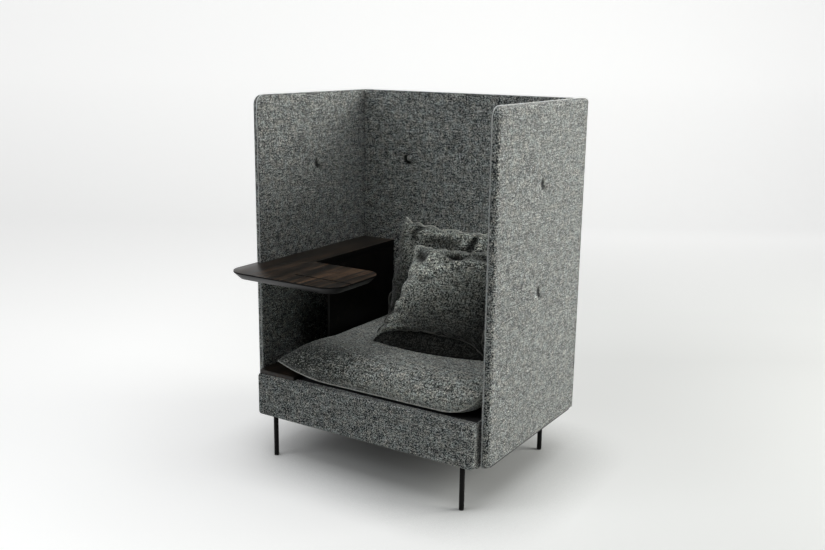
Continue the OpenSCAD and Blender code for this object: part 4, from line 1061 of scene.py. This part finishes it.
# Painted shade darkens the left front, under the table, and painted light brightens the right front corner.
# Each patch: how pale, and where it begins and is full, in metres to the right and to the back
painted_light_patches = (
    (-0.7, (0.12, -0.28), (-0.12, -0.28)),
    (1.0, (0.02, 0.32), (-0.26, -0.38)),
    (0.9, (0.20, 0.34), (-0.34, -0.41)),
)
mesh, rim = soft_form("seat_pad", *seat_cells, cushion_point)
start = [Vector(vertex.co) for vertex in mesh.vertices]
blown = simulate_cloth(mesh, **seat_blow)
for vertex, first, last in zip(mesh.vertices, start, blown):
    move = last - first
    if move.length > seat_cap:
        move *= seat_cap / move.length
    place = first + move
    place.x = min(place.x, cushion_right)
    place.y = min(place.y, cushion_back)
    place.z = max(min(place.z, cushion_top), cushion_low)
    if place.x < ledge_hi.x + soft_gap and place.z < ledge_hi.z + soft_gap:
        place.z = ledge_hi.z + soft_gap
    vertex.co = place
welt_loop = [Vector(mesh.vertices[number].co) for number in rim]
seat_pad = smoothed(new_object("seat_pad", mesh))
seat_painted_lights = [sum(pale * rise(vertex.co.x, *right) * rise(vertex.co.y, *back) for pale, right, back in painted_light_patches)
        for vertex in seat_pad.data.vertices]
seat_pad.data.attributes.new("nap", "FLOAT", "POINT").data.foreach_set("value", seat_painted_lights)
seat_pad.data.materials.append(seat_cloth)
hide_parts("seat_cushion")
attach(seat_pad, "seat_cushion")
lay_welt("seat_welt", welt_loop, seat_welt_r, seat_welt_cloth, "seat_cushion")


# Pillows. Two loose feather pillows in a softer grey chenille lean on the back panel, one before the
# other, with knife-edge seams and slack corners.
pillow_sink = 6 * mm
button_proud = max(0.0, button_h - dimple_depth)
pillow_floor = cushion_top + soft_gap
pillow_back = back_lo.y - button_proud - soft_gap
# out: the foot's distance from the back panel. side_draw, end_draw: how far the sides and the ends are
# drawn in between the corners. lift: how far the filling lifts the bottom seam. bow, taper: how far the
# foot bows forward on the seat, and narrows. blow: the pressure and the seed of the cloth
rear_sizes = SimpleNamespace(
    width=500 * mm, height=425 * mm, thickness=150 * mm, lean=radians(21.8), turn=0.0, out=162 * mm,
    shift=-5 * mm, side_draw=0.04, end_draw=0.14, lift=8 * mm, bow=0.0, taper=0.10,
    blow=dict(pressure=4.6, seed=3.0))
front_sizes = SimpleNamespace(
    width=460 * mm, height=462 * mm, thickness=140 * mm, lean=radians(46.5), turn=radians(4), out=438 * mm,
    shift=115 * mm, side_draw=0.12, end_draw=0.08, lift=62 * mm, bow=50 * mm, taper=0.0,
    blow=dict(pressure=5.0, seed=8.0))


def pillow_frame(sizes):
    """The pillow's own axes in the chair, with its middle."""
    half, lean = sizes.height / 2, sizes.lean
    middle = Vector((sizes.shift, back_lo.y - sizes.out + half * sin(lean),
                     cushion_top - pillow_sink + half * cos(lean)))
    upright = Matrix.Rotation(pi / 2 - lean, 4, "X")
    return Matrix.Translation(middle) @ upright @ Matrix.Rotation(sizes.turn, 4, "Z")


contact = (pillow_frame(rear_sizes).translation + pillow_frame(front_sizes).translation) / 2
contact_lean = (rear_sizes.lean + front_sizes.lean) / 2
contact_normal = Vector((0, cos(contact_lean), -sin(contact_lean)))


def settle(point, behind):
    """Presses a pillow's point against the cushion, the back panel and the other pillow."""
    point.z = max(point.z, pillow_floor)
    point.y = min(point.y, pillow_back)
    reach = (point - contact).dot(contact_normal)
    push = max(0.0, soft_gap - reach) if behind else min(0.0, -reach)
    return point + contact_normal * push


pillow_cloth = melange_material("pillow_cloth", (0.70, 0.70, 0.61), (0.014, 0.016, 0.015), yarn=1.9 * mm,
                                softness=0.10)
# The cloth's colour is scaled by painted light and painted shade, per point
scale_colour(pillow_cloth, attribute_value(pillow_cloth.node_tree, "pile"))
# The pillow welt is painted pale as a painted highlight along the seam, and painted darker lower down as
# painted shade
pillow_welt_cloth = melange_material("pillow_welt_cloth", (1.0, 0.99, 0.88), (0.72, 0.72, 0.64),
                                     yarn=2.2 * mm, place=object_place)
shade_by_height(pillow_welt_cloth, low=0.54, high=0.66, least=0.12)
pillow_welt_r = 3 * mm
pillow_cells = 72
pillow_blow = dict(frames=16, stiffness=9.0, bending=0.06, ruffle=3.5 * mm)
start_bulge, quick_swell = 0.14, 3.5
# Folds of each front sheet: height in mm (a hollow is negative), width, and points of its line. Width and
# points are in shares of the half size, to the right and up.
pillow_folds = {
    "rear_pillow": (
        (-18, 0.05, ((-0.47, 0.93), (-0.56, 0.80), (-0.61, 0.68), (-0.57, 0.52))),
        (13, 0.07, ((-0.50, 0.66), (-0.44, 0.80), (-0.32, 0.87))),
        (8, 0.12, ((-0.45, 0.78), (-0.10, 0.83), (0.26, 0.80))),
        (-6, 0.035, ((-0.16, 0.88), (-0.08, 0.80), (0.03, 0.74))),
        (-5, 0.03, ((0.06, 0.90), (0.10, 0.80), (0.17, 0.74))),
        (15, 0.05, ((0.20, 0.54), (0.26, 0.69), (0.34, 0.84))),
        (-24, 0.05, ((0.42, 0.80), (0.38, 0.64), (0.35, 0.50))),
        (-16, 0.06, ((0.27, 0.50), (0.34, 0.50), (0.40, 0.46))),
        (15, 0.04, ((0.50, 0.88), (0.48, 0.66), (0.45, 0.44))),
        (-11, 0.11, ((-0.42, 0.56), (-0.10, 0.55), (0.20, 0.55))),
        (-8, 0.05, ((-0.92, 0.30), (-0.78, 0.24), (-0.66, 0.28))),
        (7, 0.05, ((-0.92, 0.10), (-0.80, 0.06), (-0.70, 0.10))),
        (-8, 0.05, ((-0.94, -0.10), (-0.82, -0.14), (-0.70, -0.08))),
        (7, 0.05, ((-0.94, -0.28), (-0.80, -0.30), (-0.70, -0.24))),
    ),
    "front_pillow": (
        (-24, 0.070, ((-0.84, 0.80), (-0.72, 0.66), (-0.60, 0.56), (-0.53, 0.49))),
        (-26, 0.065, ((-0.28, 0.66), (-0.12, 0.60), (0.02, 0.57), (0.14, 0.60))),
        (9, 0.05, ((-0.50, 0.46), (-0.47, 0.54), (-0.42, 0.64), (-0.36, 0.72))),
        (8, 0.028, ((-0.35, 0.66), (-0.23, 0.58), (-0.11, 0.53), (0.06, 0.48))),
        (-10, 0.035, ((-0.22, 0.48), (-0.12, 0.46), (-0.02, 0.46))),
        (11, 0.045, ((-0.40, 0.24), (-0.26, 0.31), (-0.06, 0.41), (0.06, 0.46), (0.20, 0.50))),
        (-8, 0.06, ((0.24, 0.66), (0.46, 0.60), (0.66, 0.64))),
        (7, 0.05, ((0.26, 0.50), (0.44, 0.48), (0.62, 0.52))),
        (-7, 0.05, ((-0.50, 0.20), (-0.36, 0.12), (-0.18, 0.20))),
        (9, 0.06, ((-0.92, 0.44), (-0.80, 0.38), (-0.64, 0.40))),
        (-8, 0.045, ((-0.94, 0.28), (-0.80, 0.22), (-0.66, 0.24))),
        (10, 0.06, ((-0.95, 0.10), (-0.80, 0.04), (-0.62, 0.06))),
        (-8, 0.045, ((-0.95, -0.06), (-0.82, -0.12), (-0.62, -0.10))),
        (10, 0.06, ((-0.96, -0.22), (-0.80, -0.26), (-0.62, -0.22))),
        (-9, 0.045, ((-0.96, -0.38), (-0.82, -0.42), (-0.58, -0.42))),
        (6, 0.06, ((-0.96, -0.54), (-0.82, -0.56), (-0.62, -0.52))),
        (-6, 0.045, ((-0.94, -0.70), (-0.80, -0.69), (-0.56, -0.62))),
        (9, 0.04, ((-0.80, -0.80), (-0.66, -0.84), (-0.46, -0.79), (-0.16, -0.80))),
    ),
}
fold_ends, fold_reach = 0.25, 3
# Folds fade in on the front sheet over this share of the thickness
fold_rise = 0.06
taper_from, taper_full = -0.1, -0.6
# Where the lift begins on each sheet, over how much of the rear one it blends in, and how the foot bows
lift_begin_front, lift_begin_back, lift_blend = 0.35, 0.70, 0.5
front_bow_share, rear_bow_share = 0.25, 0.75
belly, belly_from, belly_run = 10 * mm, 0.25, 0.6


def pillow_start(width, height, thickness):
    """A slack lens of cloth."""
    def point(u, v, up):
        bulge = start_bulge * thickness * sqrt(max(0.0, (1 - u * u) * (1 - v * v)))
        return (width / 2 * u, height / 2 * v, bulge if up else -bulge)
    return point


def drawn_in(reach, draw, across):
    return reach * (1 - draw * (1 - across ** 4))


def fold_height(u, v, folds):
    """Height of all folds at (u, v). Each fades out towards the ends of its line."""
    total = 0.0
    for height, width, line in folds:
        count = len(line) - 1
        near, where = 1e9, 0.0
        for number, ((au, av), (bu, bv)) in enumerate(zip(line, line[1:])):
            run_u, run_v = bu - au, bv - av
            t = ((u - au) * run_u + (v - av) * run_v) / (run_u * run_u + run_v * run_v)
            t = min(1.0, max(0.0, t))
            gap = hypot(u - au - t * run_u, v - av - t * run_v)
            if gap < near:
                near, where = gap, (number + t) / count
        if near < fold_reach * width:
            part = fold_ends + (1 - fold_ends) * sin(pi * where)
            total += height * mm * exp(-(near / width) ** 2) * part
    return total


def painted_pillow_light(u, v, fold, behind, under):
    """Painted light and shade on the pillow cloth: painted highlights on ridges, at the top seam and at the
    left ear, painted shade in hollows. The front pillow gets painted shade to the lower right, and its lower
    sheet to its foot. The rear one to its foot."""
    tone = exp(fold / (9 * mm)) if fold < 0 else 1 + fold / (8 * mm)
    tone *= 1 + 0.9 * rise(v, 0.93, 0.98) + 0.7 * rise(v, 0.76, 0.86) * rise(u, -0.72, -0.82)
    if behind:
        tone *= (0.85 + 0.5 * rise(v, 0.55, 0.85)) * (0.28 + 0.72 * rise(v, -0.35, 0.50))
    else:
        tone *= exp(-0.33 - 1.1 * u + 1.25 * min(v, 0.4) * rise(u, -0.75, -0.25))
        tone *= 1 - 0.85 * rise(v, -0.35, -0.60) * under
    return min(1.8, max(0.10, tone))


for name, sizes, behind in (("rear_pillow", rear_sizes, True), ("front_pillow", front_sizes, False)):
    half_width, half_height = sizes.width / 2, sizes.height / 2
    placing = pillow_frame(sizes)
    mesh, rim = soft_form(name + "_soft", pillow_cells, pillow_cells,
                          pillow_start(sizes.width, sizes.height, sizes.thickness))
    flat = [Vector(vertex.co) for vertex in mesh.vertices]
    blown = simulate_cloth(mesh, **sizes.blow, **pillow_blow)
    corner_x, corner_y = [max(p[axis] for p in blown) for axis in (0, 1)]
    deep = max(abs(p.z) for p in blown)
    # Middles of the bottom, right, top and left seam, where the simulation drew the sides in by itself
    bottom, right, top, left = [blown[rim[side * pillow_cells + pillow_cells // 2]] for side in range(4)]
    side_sim = 1 - (right.x - left.x) / 2 / corner_x
    end_sim = 1 - (top.y - bottom.y) / 2 / corner_y
    for vertex, first, last in zip(mesh.vertices, flat, blown):
        u, v = first.x / half_width, first.y / half_height
        vertex.co = (
            last.x * drawn_in(half_width, sizes.side_draw, v) / drawn_in(corner_x, side_sim, v),
            last.y * drawn_in(half_height, sizes.end_draw, u) / drawn_in(corner_y, end_sim, u),
            last.z * sizes.thickness / 2 / deep)
    pillow = smoothed(new_object(name + "_soft", mesh))
    mesh = pillow.data
    layer = mesh.uv_layers["UVMap"].data
    spread = {corner.vertex_index: layer[corner.index].uv for corner in mesh.loops}
    painted_pillow_lights = []
    for vertex in mesh.vertices:
        u, v = spread[vertex.index].x / half_width, spread[vertex.index].y / half_height
        local = Vector(vertex.co)
        front = min(1.0, max(0.0, local.z / (fold_rise * sizes.thickness)))
        fold = front * fold_height(u, v, pillow_folds[name])
        local.z += fold
        local.x *= 1 - sizes.taper * rise(v, taper_from, taper_full)
        painted_pillow_lights.append(painted_pillow_light(u, v, fold, behind, local.z < 0))
        edge = drawn_in(half_height, sizes.end_draw, min(1.0, abs(u)))
        seam_place = settle(placing @ Vector((local.x, -edge, 0.0)), behind)
        place = settle(placing @ local, behind)
        bow = sizes.bow * max(0.0, 1 - u * u)
        lift = sizes.lift * (1 - min(1.0, abs(u)) ** 5)
        if local.z >= 0:
            part = past(-v, lift_begin_front) ** 1.5
            place += Vector((0, -belly * part - front_bow_share * bow * part ** 2, lift * part))
        elif -v > lift_begin_back:
            part = past(-v, lift_begin_back)
            place.y = seam_place.y - bow * (1 - rear_bow_share * part)
            place.y -= belly * sin(pi * min(1.0, belly_from + belly_run * part))
            place.z = pillow_floor + lift * part
        elif v < 0:
            part = ease(1 - (lift_begin_back + v) / lift_blend)
            place.y += (seam_place.y - bow - place.y) * part
        vertex.co = settle(place, behind)
    mesh.attributes.new("pile", "FLOAT", "POINT").data.foreach_set("value", painted_pillow_lights)
    welt_loop = [Vector(mesh.vertices[number].co) for number in rim]
    pillow.data.materials.append(pillow_cloth)
    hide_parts(name)
    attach(pillow, name)
    lay_welt(name + "_welt", welt_loop, pillow_welt_r, pillow_welt_cloth, name)
